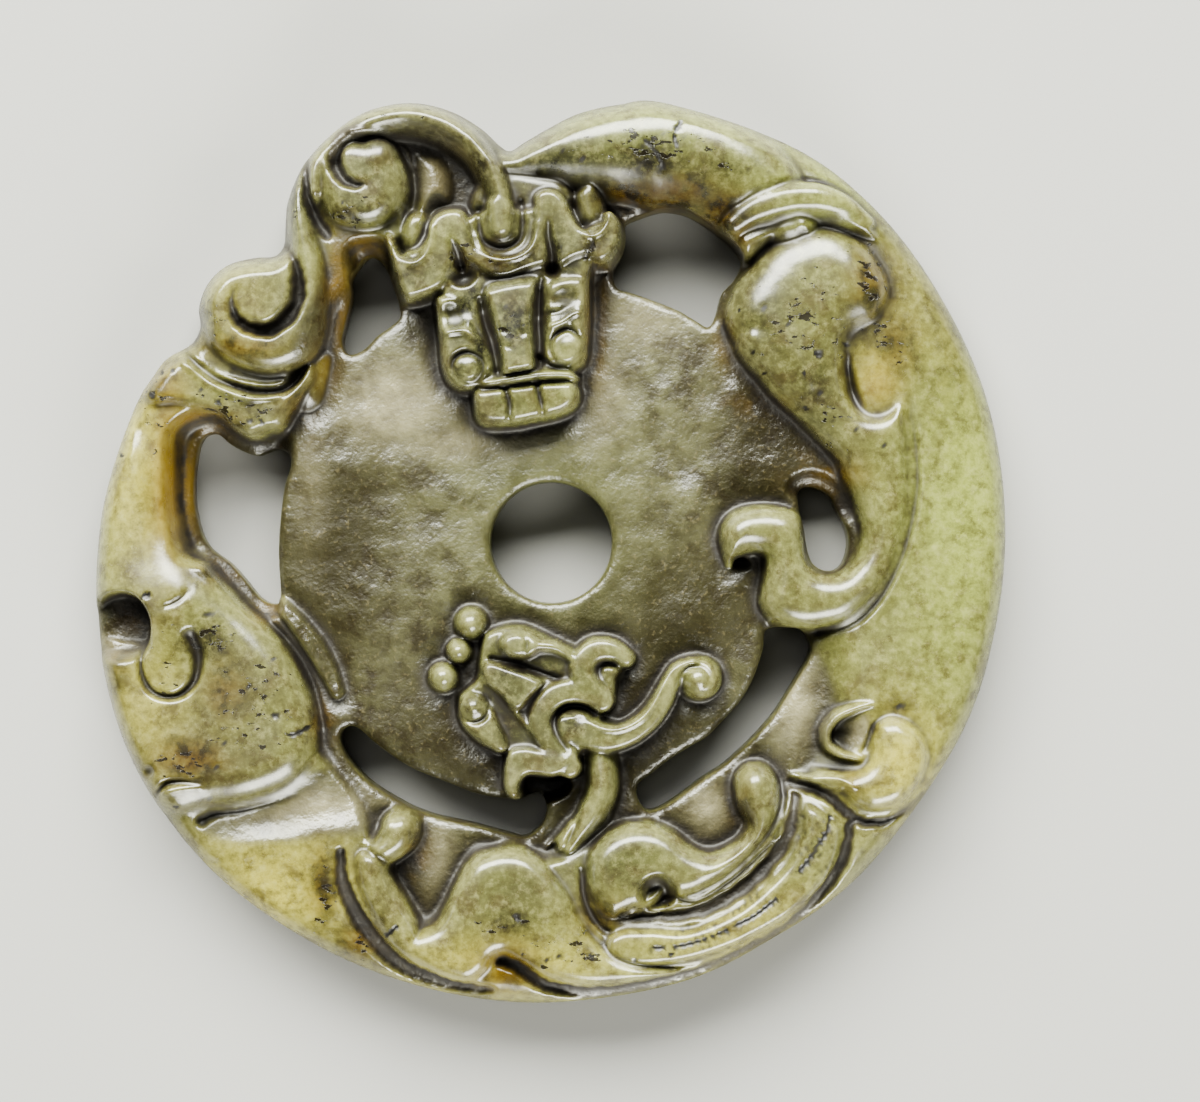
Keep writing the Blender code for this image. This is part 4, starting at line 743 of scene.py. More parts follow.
# Cracks in the neck and the foot, and the worn lines that part the feathers of the wing
CRACK_DEPTH = 0.15
CRACK_WIDTH = 0.14
DIRT_WIDTH = 0.12
for crack in (
        [(8.4, 27.8), (8.0, 27.0), (8.1, 26.2)],
        [(5.9, 26.8), (6.5, 26.2), (7.0, 25.6), (7.2, 24.8)],
        [(-10.0, -24.1), (-10.6, -24.7)],
        [(-15.7, -11.2), (-16.4, -11.6), (-16.9, -11.7)],
        [(18.1, -17.1), (17.9, -17.9), (17.4, -18.8), (16.8, -19.6), (16.1, -20.6)],
        [(14.6, -22.3), (13.9, -22.9), (13.1, -23.5), (12.0, -24.0)],
        [(11.4, -24.3), (10.3, -24.8), (9.2, -25.2), (8.0, -25.4)],
        [(7.3, -25.5), (6.6, -25.5)]):
    here, away, _, _ = beside(crack, 0.2)
    away = away + 0.05 * np.sin(11.0 * X[here] + 7.0 * Y[here])
    away = away + 0.04 * np.sin(4.0 * X[here] - 6.0 * Y[here])
    heights[here] -= CRACK_DEPTH * np.clip(1 - away / CRACK_WIDTH, 0, 1)
    dirt[here] = np.maximum(dirt[here], np.clip(1.4 - away / DIRT_WIDTH, 0, 1))

# The ground keeps the grain of the tool, in waves from 0.34 to 3.4 mm across; the polished forms
# keep only a ripple of it
FORM_RIPPLE = 0.3
CHANNEL_GRAIN = 0.9
grain = np.zeros(X.shape)
for size, rise in ((0.34, 0.011), (0.7, 0.02), (1.6, 0.045), (3.4, 0.075)):
    count = int(2 * HALF_NET / size) + 3
    knots = dice.normal(size=(count, count))
    at = (places + HALF_NET) / size
    low = at.astype(int)
    part = ease(at - low)
    rows = knots[low] * (1 - part)[:, None] + knots[low + 1] * part[:, None]
    grain += rise * (rows[:, low] * (1 - part)[None] + rows[:, low + 1] * part[None])
on_form = ease(1 - gap / 0.25)
ground = np.clip(field_share * (1 - on_form), 0, 1)
for rough in (
        [(14.6, -5.8), (17.2, -6.6), (18.4, -9.0), (17.8, -12.0), (16.6, -14.0), (14.4, -13.2),
         (13.6, -14.0), (15.0, -10.0)],
        [(-12.6, -13.4), (-15.2, -14.4), (-17.5, -16.4), (-22.6, -17.6), (-20.0, -18.5), (-15.0, -18.3),
         (-11.8, -17.6)],
        [(15.6, -15.9), (14.8, -18.8), (12.3, -21.4), (8.5, -23.2), (4.8, -23.6), (5.0, -24.0),
         (9.0, -23.8), (13.2, -21.6), (15.8, -18.4), (16.4, -16.4)],
        [(-17.9, -3.2), (-16.2, -3.8), (-14.4, -6.0), (-13.4, -8.8), (-14.2, -9.4), (-15.6, -7.0)],
        [(18.9, -11.4), (19.6, -10.7), (20.6, -10.9), (20.4, -12.2), (19.4, -12.7)],
        [(-29.6, -3.2), (-27.6, -2.8), (-26.2, -4.0), (-26.4, -6.2), (-28.0, -7.0), (-29.6, -6.4)],
        [(-16.6, 13.4), (-14.2, 13.6), (-13.4, 17.0), (-13.0, 20.0), (-11.2, 20.4), (-13.6, 20.8),
         (-14.6, 18.0)],
        [(-12.9, 27.0), (-8.0, 27.6), (-5.6, 26.0), (-5.0, 23.0), (-7.8, 22.4), (-8.8, 24.0),
         (-9.6, 26.0)]):
    here, depth = inside(rough, 1.2)
    ground[here] = np.maximum(ground[here], ease((depth + 0.5) / 0.9))
ground = np.maximum(ground, channel * CHANNEL_GRAIN)
heights += grain * (FORM_RIPPLE + (1 - FORM_RIPPLE) * ground)

# The rims: every edge is rounded over, wide on the ring and narrow in the openwork. The face ends
# just inside the outline, where the walls take over.
RIM_ROUNDING = 1.7
LIP_ROUNDING = 0.45
RIM_MIDDLE = 2.3
LIP_DROP = 0.6
SHELL = 0.12
WALL_REACH = 3.0
LOWEST = 1.2
HIGHEST = 7.88
hole_depth = np.hypot(X - HOLE_PLACE[0], Y - HOLE_PLACE[1]) - HOLE_RADIUS
inner_depth = np.minimum(hole_depth, FAR)
for points in openings.values():
    here, depth = inside(points, WALL_REACH)
    inner_depth[here] = np.minimum(inner_depth[here], -depth)
solid = np.minimum(outer_depth, inner_depth)
rim_share = swell(outer_depth / RIM_ROUNDING, 2.0)
heights = RIM_MIDDLE + (heights - RIM_MIDDLE) * rim_share
lip_share = swell(inner_depth / LIP_ROUNDING, 2.0)
heights -= LIP_DROP * (1 - lip_share)
heights = np.clip(heights, LOWEST, HIGHEST)

# Dirt, painted shade and painted highlight: hollows keep dark grime and are darkened further as
# painted shade, and edges and tops are made pale, partly as wear and partly as painted highlight.
# Each is given as how wide a hollow or edge it takes, in millimetres, and how strongly a millimetre
# of depth shows.
SHADE_WIDTH, SHADE = 3.0, 0.9
HOLLOW_WIDTH, HOLLOW_DIRT_AND_SHADE = 1.3, 1.3
CUT_WIDTH, CUT_DIRT_AND_SHADE = 0.5, 4.2
EDGE_WIDTH, EDGE_WEAR_AND_HIGHLIGHT = 0.9, 2.2
CLEAN_RIM = 0.6
hollowness = np.clip((softened(heights, HOLLOW_WIDTH) - heights) * HOLLOW_DIRT_AND_SHADE, 0, 1)
# Painted shade: broad hollows and the feet of the forms darkened over 3 mm
under = np.clip((softened(heights, SHADE_WIDTH) - heights) * SHADE, 0, 1)
sharp_hollow = np.clip((softened(heights, CUT_WIDTH) - heights) * CUT_DIRT_AND_SHADE, 0, 1)
# Dark in cuts and hollows: real dirt in the pits and cracks, and painted shade in the creases and hollows
grime_and_shade = np.clip(hollowness * 0.8 + sharp_hollow * 0.9 + dirt, 0, 1)
grime_and_shade[solid < CLEAN_RIM] *= 0.4
# Raised edges and tops: painted highlight, partly wear
worn_and_highlight = np.clip((heights - softened(heights, EDGE_WIDTH)) * EDGE_WEAR_AND_HIGHLIGHT, 0, 1)

# The disc is meshed from the net: a plane cut into even squares, with the squares under fine carving
# cut again, trimmed to the outline and closed by walls and a plain ground back.
MM = 0.001
COARSE = 4 * CELL
FINE_SHARE = 0.4
DETAIL_WIDTH = 0.35
PLAIN_MARGIN = 0.45
EVEN_MARGIN = 0.9
EVEN_ROUNDS = 5
squares = int(round(2 * HALF_NET / COARSE))
bpy.ops.object.select_all(action="DESELECT")
bpy.ops.mesh.primitive_grid_add(x_subdivisions=squares, y_subdivisions=squares, size=2 * HALF_NET)
disc = bpy.context.object
disc.name = "carved_jade_disc"


def read(field, x, y):
    """The net's value at any place, between its four nearest points."""
    column = np.clip((x + HALF_NET) / CELL, 0, side - 1.001)
    row = np.clip((y + HALF_NET) / CELL, 0, side - 1.001)
    c, r = column.astype(int), row.astype(int)
    u, v = column - c, row - r
    return ((field[r, c] * (1 - u) + field[r, c + 1] * u) * (1 - v)
            + (field[r + 1, c] * (1 - u) + field[r + 1, c + 1] * u) * v)


def points_of(mesh):
    """The places of the mesh's vertices."""
    found = np.empty(len(mesh.vertices) * 3)
    mesh.vertices.foreach_get("co", found)
    return found.reshape(-1, 3)


def centres_of(mesh):
    """The middles of the mesh's faces."""
    found = np.empty(len(mesh.polygons) * 3)
    mesh.polygons.foreach_get("center", found)
    return found.reshape(-1, 3)


def select_faces(mesh, wanted):
    """Selects the wanted faces only."""
    bpy.context.tool_settings.mesh_select_mode = (False, False, True)
    mesh.vertices.foreach_set("select", np.zeros(len(mesh.vertices), bool))
    mesh.edges.foreach_set("select", np.zeros(len(mesh.edges), bool))
    mesh.polygons.foreach_set("select", wanted)
    mesh.update()


centre = centres_of(disc.data)
select_faces(disc.data, read(solid, centre[:, 0], centre[:, 1]) < SHELL)
bpy.ops.object.mode_set(mode="EDIT")
bpy.ops.mesh.delete(type="FACE")
bpy.ops.object.mode_set(mode="OBJECT")

detail = softened(np.abs(heights - softened(heights, DETAIL_WIDTH)), 0.3)
centre = centres_of(disc.data)
busy = read(detail, centre[:, 0], centre[:, 1])
busy[read(solid, centre[:, 0], centre[:, 1]) < SHELL + PLAIN_MARGIN] = 0
select_faces(disc.data, busy > np.quantile(busy, 1 - FINE_SHARE))
bpy.ops.object.mode_set(mode="EDIT")
bpy.ops.mesh.subdivide(number_cuts=1, quadcorner="INNERVERT")
bpy.ops.mesh.select_all(action="DESELECT")
bpy.ops.object.mode_set(mode="OBJECT")


def edge_list(mesh):
    """Each edge as its two vertices."""
    found = np.empty(len(mesh.edges) * 2, int)
    mesh.edges.foreach_get("vertices", found)
    return found.reshape(-1, 2)


def open_edges(mesh):
    """The edges that only one face uses, as pairs of vertices in that face's direction."""
    loops = np.empty(len(mesh.loops), int)
    mesh.loops.foreach_get("vertex_index", loops)
    following = np.empty(len(loops), int)
    starts = np.empty(len(mesh.polygons), int)
    totals = np.empty(len(mesh.polygons), int)
    mesh.polygons.foreach_get("loop_start", starts)
    mesh.polygons.foreach_get("loop_total", totals)
    following[:-1] = loops[1:]
    following[starts + totals - 1] = loops[starts]
    pairs = np.stack([loops, following], 1)
    keys = np.sort(pairs, axis=1)
    _, back, counts = np.unique(keys, axis=0, return_inverse=True, return_counts=True)
    return pairs[counts[back.ravel()] == 1]


slope_y, slope_x = np.gradient(solid, CELL)
spot = points_of(disc.data)
rim_pairs = open_edges(disc.data)
rim_points = np.unique(rim_pairs)
edges = edge_list(disc.data)
onto_rim = np.zeros(len(spot), bool)
onto_rim[rim_points] = True
close = read(solid, spot[:, 0], spot[:, 1]) < SHELL + EVEN_MARGIN


def pull_to_rim(spot):
    """Moves the rim's points straight across the rim onto its line."""
    for _ in range(3):
        x, y = spot[rim_points, 0], spot[rim_points, 1]
        gx, gy = read(slope_x, x, y), read(slope_y, x, y)
        size = np.maximum(gx * gx + gy * gy, 0.2)
        missing = read(solid, x, y) - SHELL
        spot[rim_points, 0] -= missing * gx / size
        spot[rim_points, 1] -= missing * gy / size


# Points near the rims are spread evenly, then the rim points go back on the outline
for _ in range(EVEN_ROUNDS):
    pull_to_rim(spot)
    total = np.zeros((len(spot), 2))
    count = np.zeros(len(spot))
    for a, b in ((0, 1), (1, 0)):
        use = ~onto_rim[edges[:, a]]
        np.add.at(total, edges[use, a], spot[edges[use, b], :2])
        np.add.at(count, edges[use, a], 1)
    for a, b in ((0, 1), (1, 0)):
        np.add.at(total, rim_pairs[:, a], spot[rim_pairs[:, b], :2])
        np.add.at(count, rim_pairs[:, a], 1)
    moved = close & (count > 0)
    spot[moved, :2] = 0.5 * spot[moved, :2] + 0.5 * total[moved] / count[moved, None]
pull_to_rim(spot)

# Walls: rings of faces go out over the rounded rim, down, and in again to the flat back.
# Each ring is given as how far inside the outline it lies and its share of the rim's height.
OUTER_RINGS = [(0.05, 0.88), (0.0, 0.62), (0.0, 0.34), (0.14, 0.15), (0.5, 0.035), (0.95, 0.0)]
INNER_RINGS = [(0.03, 0.93), (0.0, 0.8), (0.0, 0.34), (0.04, 0.16), (0.16, 0.05), (0.34, 0.0)]
spot[:, 2] = read(heights, spot[:, 0], spot[:, 1])
x, y = spot[rim_points, 0], spot[rim_points, 1]
gx, gy = read(slope_x, x, y), read(slope_y, x, y)
length = np.maximum(np.hypot(gx, gy), 0.3)
gx, gy = gx / length, gy / length
is_outer = read(outer_depth, x, y) < read(inner_depth, x, y)
rows = [rim_points]
all_points = [spot]
for (outer_in, outer_share), (inner_in, inner_share) in zip(OUTER_RINGS, INNER_RINGS):
    inward = np.where(is_outer, outer_in, inner_in) - SHELL
    share = np.where(is_outer, outer_share, inner_share)
    ring = np.stack([x + gx * inward, y + gy * inward, spot[rim_points, 2] * share], 1)
    rows.append(np.arange(len(rim_points)) + sum(len(part) for part in all_points))
    all_points.append(ring)
order = np.full(len(spot), -1)
order[rim_points] = np.arange(len(rim_points))
first, second = order[rim_pairs[:, 0]], order[rim_pairs[:, 1]]
walls = np.concatenate([np.stack([upper[second], upper[first], lower[first], lower[second]], 1)
                        for upper, lower in zip(rows, rows[1:])])

loops = np.empty(len(disc.data.loops), int)
disc.data.loops.foreach_get("vertex_index", loops)
starts = np.empty(len(disc.data.polygons), int)
disc.data.polygons.foreach_get("loop_start", starts)
front = [part.tolist() for part in np.split(loops, starts[1:])]
every_point = np.concatenate(all_points)
disc.data.clear_geometry()
disc.data.from_pydata(every_point.tolist(), [], front + walls.tolist())
disc.data.validate()

# The back is filled across its last ring
shell = bmesh.new()
shell.from_mesh(disc.data)
bmesh.ops.triangle_fill(shell, use_beauty=True, normal=(0, 0, -1),
                        edges=[edge for edge in shell.edges if edge.is_boundary])
bmesh.ops.recalc_face_normals(shell, faces=shell.faces)
shell.to_mesh(disc.data)
shell.free()

# The carving becomes metres and is kept inside the CAD solid's box
spot = points_of(disc.data)
low, high = np.array(cad_box[0]) / MM, np.array(cad_box[1]) / MM
spot = np.clip(spot, low, high)
front_count = len(all_points[0])
disc.data.vertices.foreach_set("co", (spot * MM).ravel())
disc.data.update()


def keep(name, values):
    """Writes one value a vertex, for the material to read."""
    data = disc.data.attributes.new(name, "FLOAT", "POINT")
    data.data.foreach_set("value", values.astype(float))


x, y = spot[:, 0], spot[:, 1]
in_front = np.arange(len(spot)) < front_count
# What the carved face takes from the net, and the even value on the walls and the back
SURFACE = {"grime_and_shade": (grime_and_shade, 0.15), "worn_and_highlight": (worn_and_highlight, 0.2), "ground": (ground, 0.25), "under": (under, 0.6),
           "pitted": (pitted, 0.2), "channel": (channel, 0.0), "pits": (dirt, 0.0)}
for name, (field, on_back) in SURFACE.items():
    keep(name, np.where(in_front, read(field, x, y), on_back))


def blot(spots):
    """Soft patches of colour and painted shade: place, size across and along, strength."""
    total = np.zeros(len(spot))
    for px, py, wide, tall, strength in spots:
        total = np.maximum(total, strength * np.exp(-((x - px) / wide) ** 2 - ((y - py) / tall) ** 2))
    return total


# Russet and amber lie where iron has stained the walls and veins, smoke and grey over the handled head,
# and yellow warms the left and the lower ring. The smoke is partly a smoky tone and partly painted shade
# and painted dark reflection in the head's gaps, the curl's recess and the neck's shaded underside
STAINS = {
    "russet": [
        (-23.4, -13.3, 2.6, 1.4, 1.0), (-24.4, 5.0, 0.9, 4.4, 0.9), (-22.6, 8.6, 2.6, 0.9, 0.9),
        (-22.0, -1.2, 1.8, 1.0, 0.8), (-21.0, -8.8, 1.6, 2.2, 0.7), (-25.2, 11.0, 1.8, 1.8, 0.8),
        (-2.8, -27.0, 2.2, 1.8, 1.0), (-14.8, -21.6, 1.0, 2.6, 0.9), (-12.4, -25.2, 1.4, 1.4, 1.0),
        (4.8, 23.2, 2.0, 1.2, 1.0), (8.0, 23.4, 2.8, 1.3, 1.0), (11.0, 22.2, 1.8, 1.4, 1.0),
        (12.4, 20.6, 1.0, 1.4, 0.9), (18.0, 5.2, 2.2, 1.4, 0.8), (20.8, 17.6, 1.8, 3.2, 0.8),
        (22.4, 13.6, 2.0, 2.4, 0.6), (-12.2, 20.0, 1.6, 0.8, 0.9), (-13.9, 17.0, 0.9, 3.6, 0.9),
        (-16.4, 9.4, 1.2, 1.8, 0.8), (-20.2, 13.4, 2.8, 1.0, 0.9), (2.9, 15.0, 0.8, 3.2, 0.9),
        (3.6, -23.6, 2.2, 1.4, 0.8), (-8.8, -19.6, 0.9, 1.8, 0.9), (-15.0, -11.0, 0.8, 1.4, 1.0),
        (22.6, -10.0, 0.9, 0.8, 0.6), (12.4, -16.6, 0.8, 2.2, 0.7), (19.6, -14.8, 0.9, 1.0, 0.7),
        (-6.6, 24.6, 2.4, 2.4, 0.35), (14.0, 9.8, 2.6, 0.7, 0.6), (-28.0, -7.4, 0.9, 2.0, 0.6),
        (-25.6, 2.0, 1.2, 3.0, 0.4), (-4.0, 19.0, 3.0, 1.0, 0.4), (3.4, 18.2, 0.8, 0.8, 0.6),
        (26.0, 14.0, 2.0, 6.0, 0.3), (-27.0, -4.2, 1.6, 1.0, 0.8)],
    # Smoke: partly a smoky tone, partly painted shade and painted dark reflection in the head's gaps, the
    # curl's recess and the neck's underside
    "smoke_and_shade": [
        (-5.4, 15.8, 1.0, 1.5, 1.0), (-4.5, 13.4, 0.5, 2.0, 1.0), (-5.8, 18.8, 0.7, 1.4, 1.0),
        (-0.8, 14.2, 0.4, 2.6, 1.0), (0.5, 19.2, 0.6, 1.6, 1.0), (0.8, 15.4, 1.4, 0.6, 0.8),
        (-2.6, 13.8, 1.0, 0.7, 0.8), (-1.6, -7.6, 3.0, 0.5, 0.9), (-3.0, -10.6, 0.6, 2.0, 0.8),
        (1.2, -10.8, 1.2, 0.8, 0.8), (-0.8, -15.4, 1.2, 0.6, 0.8), (-5.0, -9.6, 0.8, 0.5, 0.7),
        (-3.0, 18.0, 3.6, 0.4, 1.0), (-5.2, 20.0, 0.6, 1.6, 0.6), (7.0, 23.3, 4.6, 0.9, 1.0),
        (11.6, 21.6, 1.4, 1.2, 0.9), (6.0, -21.4, 1.4, 0.5, 0.6), (-0.8, 15.0, 0.5, 3.0, 0.8),
        (-4.2, 14.0, 0.5, 3.0, 0.8), (-9.2, 18.4, 1.2, 1.6, 0.6), (-6.0, 12.0, 1.2, 1.2, 0.6),
        (3.8, 20.4, 1.0, 1.2, 0.5), (-5.6, 18.0, 1.0, 1.1, 1.0), (-4.9, 16.8, 0.9, 0.9, 0.9),
        (0.2, 19.2, 0.8, 1.8, 0.9), (-3.0, 18.6, 5.0, 1.0, 0.8), (-2.3, 14.8, 1.4, 1.8, 0.9),
        (-6.2, 15.2, 1.2, 1.6, 0.6), (1.2, 16.0, 1.2, 1.4, 0.6), (-3.0, 9.2, 2.4, 1.0, 0.4),
        (-22.4, -5.8, 1.6, 1.3, 1.0), (0.8, 25.2, 2.6, 1.0, 0.8), (6.4, 25.2, 2.6, 1.2, 0.9),
        (11.4, 24.8, 1.8, 1.0, 0.6), (-13.2, 22.2, 2.0, 1.2, 0.8), (-8.4, 26.8, 4.0, 1.0, 0.8),
        (-4.6, 25.0, 0.8, 2.6, 0.8), (-16.6, 23.4, 1.0, 3.0, 0.8), (-22.8, 14.8, 0.9, 2.0, 0.7),
        (-17.2, 15.2, 1.4, 1.6, 0.5), (-20.5, 9.4, 3.0, 1.0, 0.5), (-2.4, -23.8, 1.8, 0.9, 0.8),
        (13.4, 15.6, 1.8, 2.6, 0.5), (17.2, 10.4, 1.6, 2.0, 0.5), (-27.6, -4.0, 1.6, 1.2, 1.0),
        (2.6, 19.6, 1.2, 1.2, 0.6), (-10.0, 17.8, 0.8, 1.6, 0.5), (-11.0, -23.0, 1.0, 2.0, 0.4),
        (4.0, -20.0, 2.0, 1.6, 0.3)],
    "grey": [
        (-3.2, 15.0, 8.0, 8.5, 1.0), (-9.5, 26.0, 7.0, 4.0, 0.9), (-16.5, 23.0, 2.0, 4.0, 0.7),
        (3.0, 25.4, 8.0, 2.2, 0.8), (0.5, -9.5, 10.0, 7.0, 1.0), (4.6, -19.8, 5.0, 3.0, 1.0),
        (17.0, 15.6, 4.0, 4.0, 0.25), (-3.0, -21.4, 3.4, 2.2, 0.6), (-11.0, -20.0, 2.4, 4.0, 0.6),
        (14.0, 2.0, 4.0, 3.6, 0.4), (18.2, 8.4, 3.0, 4.0, 0.45), (-2.6, -24.0, 4.6, 2.6, 0.4)],
    "amber": [
        (-24.6, 5.0, 1.1, 4.4, 1.0), (-23.4, 8.7, 1.6, 0.8, 0.8), (3.0, 15.0, 0.5, 3.0, 0.4),
        (-13.7, 17.5, 0.8, 3.0, 0.35), (18.3, 4.9, 1.8, 0.8, 0.4), (-12.0, 20.2, 1.6, 0.5, 0.3),
        (-14.8, 12.0, 0.8, 1.6, 0.4), (11.4, 13.8, 0.8, 1.6, 0.25), (-2.9, -26.8, 1.4, 1.2, 0.5),
        (-18.6, -3.8, 1.0, 0.8, 0.4), (21.2, 11.0, 1.4, 1.4, 0.35)],
    "yellow": [
        (-18.0, -22.0, 7.0, 4.0, 1.0), (-4.0, -27.0, 8.0, 2.4, 0.9), (14.0, -25.0, 8.0, 3.0, 0.7),
        (22.5, -13.5, 3.6, 3.6, 0.9), (-26.8, 6.0, 2.8, 6.5, 0.9), (-26.5, -10.0, 3.2, 5.0, 0.6),
        (21.2, 11.5, 1.8, 2.4, 0.9), (24.0, 16.0, 3.0, 5.0, 0.3), (-20.6, 15.6, 3.0, 4.0, 0.3)],
    # Pale: partly wear, partly a painted sheen on ground that faces the light
    "pale": [
        (-16.5, -16.6, 4.4, 1.3, 1.0), (16.0, -9.5, 1.6, 3.2, 0.8), (10.4, -16.8, 1.6, 1.6, 0.9),
        (-10.0, 10.0, 4.0, 2.6, 0.8), (2.6, 10.8, 2.0, 3.2, 0.8), (-7.6, -20.4, 1.4, 2.6, 0.7),
        (5.6, 15.4, 3.0, 2.0, 0.5), (-5.2, 7.4, 4.4, 1.2, 0.7), (-15.8, 6.0, 1.2, 5.0, 0.3),
        (-7.2, 24.6, 1.8, 2.2, 0.8), (-28.2, -6.0, 1.4, 0.8, 0.9), (19.8, -11.6, 1.0, 1.0, 0.9),
        (6.4, -22.6, 0.8, 0.6, 0.7)],
    "brown": [
        (0.0, -12.0, 14.0, 6.0, 1.0), (9.0, -4.0, 6.0, 5.0, 0.9), (-14.5, 1.0, 5.0, 10.0, 0.9),
        (14.0, 7.0, 3.4, 7.0, 1.0), (-6.0, 9.4, 1.2, 1.2, 0.4), (3.6, 18.0, 1.0, 1.0, 0.8),
        (-19.0, -5.0, 2.0, 1.0, 0.5)],
    "green": [
        (27.0, 3.0, 4.0, 12.0, 1.0), (20.0, 25.0, 6.0, 4.0, 0.8), (0.0, 2.0, 7.0, 7.0, 0.6),
        (8.0, 28.0, 8.0, 2.0, 0.6)],
}
for name, spots in STAINS.items():
    keep(name, np.clip(blot(spots), 0, 1))

bpy.ops.object.select_all(action="DESELECT")
disc.select_set(True)
bpy.context.view_layer.objects.active = disc
bpy.ops.object.shade_smooth()

# Polished nephrite (a felted tremolite jade): waxy, faintly see-through, celadon to yellow, with
# iron-brown skin and black dirt. Polished tops gleam; the wheel-ground field stays dull and speckled.


def linear(code):
    """An sRGB hex colour as the linear values that Blender wants."""
    parts = [int(code[i:i + 2], 16) / 255 for i in (1, 3, 5)]
    return tuple(p / 12.92 if p <= 0.04045 else ((p + 0.055) / 1.055) ** 2.4 for p in parts) + (1.0,)


def node(tree, kind, links=(), **settings):
    """Adds a node; settings are its properties or socket values, links are (socket, source socket)."""
    made = tree.nodes.new(kind)
    for key, value in settings.items():
        if key.startswith("in_"):
            name = key[3:]
            socket = made.inputs[int(name)] if name.isdigit() else made.inputs[name.replace("_", " ")]
            socket.default_value = value
        else:
            setattr(made, key, value)
    for socket, source in links:
        tree.links.new(made.inputs[socket], source)
    return made


jade = bpy.data.materials.new("polished_nephrite")
jade.use_nodes = True
tree = jade.node_tree
tree.nodes.clear()
where = node(tree, "ShaderNodeTexCoord").outputs["Object"]
on = {name: node(tree, "ShaderNodeAttribute", attribute_name=name).outputs["Fac"]
      for name in list(SURFACE) + list(STAINS)}


def blend(first, second, share):
    """One colour over another by a share from 0 to 1."""
    made = node(tree, "ShaderNodeMix", data_type="RGBA")
    for socket, value in ((made.inputs[6], first), (made.inputs[7], second), (made.inputs[0], share)):
        if isinstance(value, (tuple, float)):
            socket.default_value = value
        else:
            tree.links.new(socket, value)
    return made.outputs[2]


def spread(source, low, high, to_low=0.0, to_high=1.0):
    """Stretches a value between two limits onto two others."""
    return node(tree, "ShaderNodeMapRange", [(0, source)], in_1=low, in_2=high, in_3=to_low,
                in_4=to_high).outputs[0]


def times(first, second, operation="MULTIPLY"):
    """Two values multiplied or added, kept from 0 to 1."""
    made = node(tree, "ShaderNodeMath", operation=operation, use_clamp=True)
    for socket, value in zip(made.inputs, (first, second)):
        if isinstance(value, float):
            socket.default_value = value
        else:
            tree.links.new(socket, value)
    return made.outputs[0]


# Clouds of 8 mm and mottling of 1.5 mm in the stone; specks of 0.25 mm, drawn a little coarse to show
clouds = node(tree, "ShaderNodeTexNoise", [("Vector", where)], in_Scale=125.0, in_Detail=4.0).outputs["Fac"]
mottle = node(tree, "ShaderNodeTexNoise", [("Vector", where)], in_Scale=650.0, in_Detail=5.0,
              in_Roughness=0.6).outputs["Fac"]
specks = node(tree, "ShaderNodeTexNoise", [("Vector", where)], in_Scale=3200.0, in_Detail=2.0).outputs["Fac"]
felt = node(tree, "ShaderNodeTexNoise", [("Vector", where)], in_Scale=1700.0, in_Detail=5.0,
            in_Roughness=0.75).outputs["Fac"]

# Thin darker veins and threads in the stone, 3 mm apart, drawn as the middle band of a noise
veins = node(tree, "ShaderNodeTexNoise", [("Vector", where)], in_Scale=330.0, in_Detail=6.0,
             in_Roughness=0.7).outputs["Fac"]
veins = times(spread(veins, 0.44, 0.5), spread(veins, 0.5, 0.56, 1.0, 0.0))

# Open flecks about 0.3 mm wide and 0.7 mm long, all lying one way as the stone's fibres do
turned = node(tree, "ShaderNodeMapping", [("Vector", where)])
turned.inputs["Rotation"].default_value = (0.0, 0.0, math.radians(40))
turned.inputs["Scale"].default_value = (1.0, 1.9, 1.0)
fleck = node(tree, "ShaderNodeTexNoise", [("Vector", turned.outputs[0])], in_Scale=1250.0, in_Detail=3.0,
             in_Roughness=0.55).outputs["Fac"]
fleck = spread(times(fleck, spread(on["pitted"], 0.0, 1.0, 0.0, 0.3), "ADD"), 0.81, 0.84)

# The polished stone: olive with celadon clouds, yellow and green parts, grey where it was handled most
body = blend(linear("#47462a"), linear("#5f6038"), spread(clouds, 0.38, 0.62))
body = blend(body, linear("#918a42"), times(on["yellow"], spread(clouds, 0.2, 0.7, 0.6, 1.0)))
body = blend(body, linear("#757c40"), times(on["green"], 0.9))
body = blend(body, linear("#303122"), times(on["grey"], spread(clouds, 0.3, 0.65, 0.9, 0.5)))
# Raised edges and tops made pale: painted highlight, partly wear
body = blend(body, linear("#8e8d66"), times(on["worn_and_highlight"], 0.3))
body = blend(body, linear("#2b2412"), times(veins, spread(mottle, 0.4, 0.6, 0.1, 0.5)))
body = blend(body, linear("#3a3019"),
    times(spread(mottle, 0.5, 0.68, 0.0, 0.6), spread(on["green"], 0.0, 1.0, 1.0, 0.3)))

# The unpolished ground: dark brown with grey-green mottling, nearly black below, and pale in places, partly
# from wear and partly as a painted sheen where it faces the light
field_tone = blend(linear("#211b0e"), linear("#494830"), spread(mottle, 0.38, 0.62))
field_tone = blend(field_tone, linear("#565836"), times(on["green"], spread(clouds, 0.35, 0.6, 0.4, 0.9)))
field_tone = blend(field_tone, linear("#161005"),
    times(on["brown"], spread(mottle, 0.34, 0.56, 0.6, 1.0)))
# Painted sheen on ground that faces the light, partly pale wear
field_tone = blend(field_tone, linear("#8a846a"), times(on["pale"], spread(mottle, 0.3, 0.6, 0.4, 0.9)))

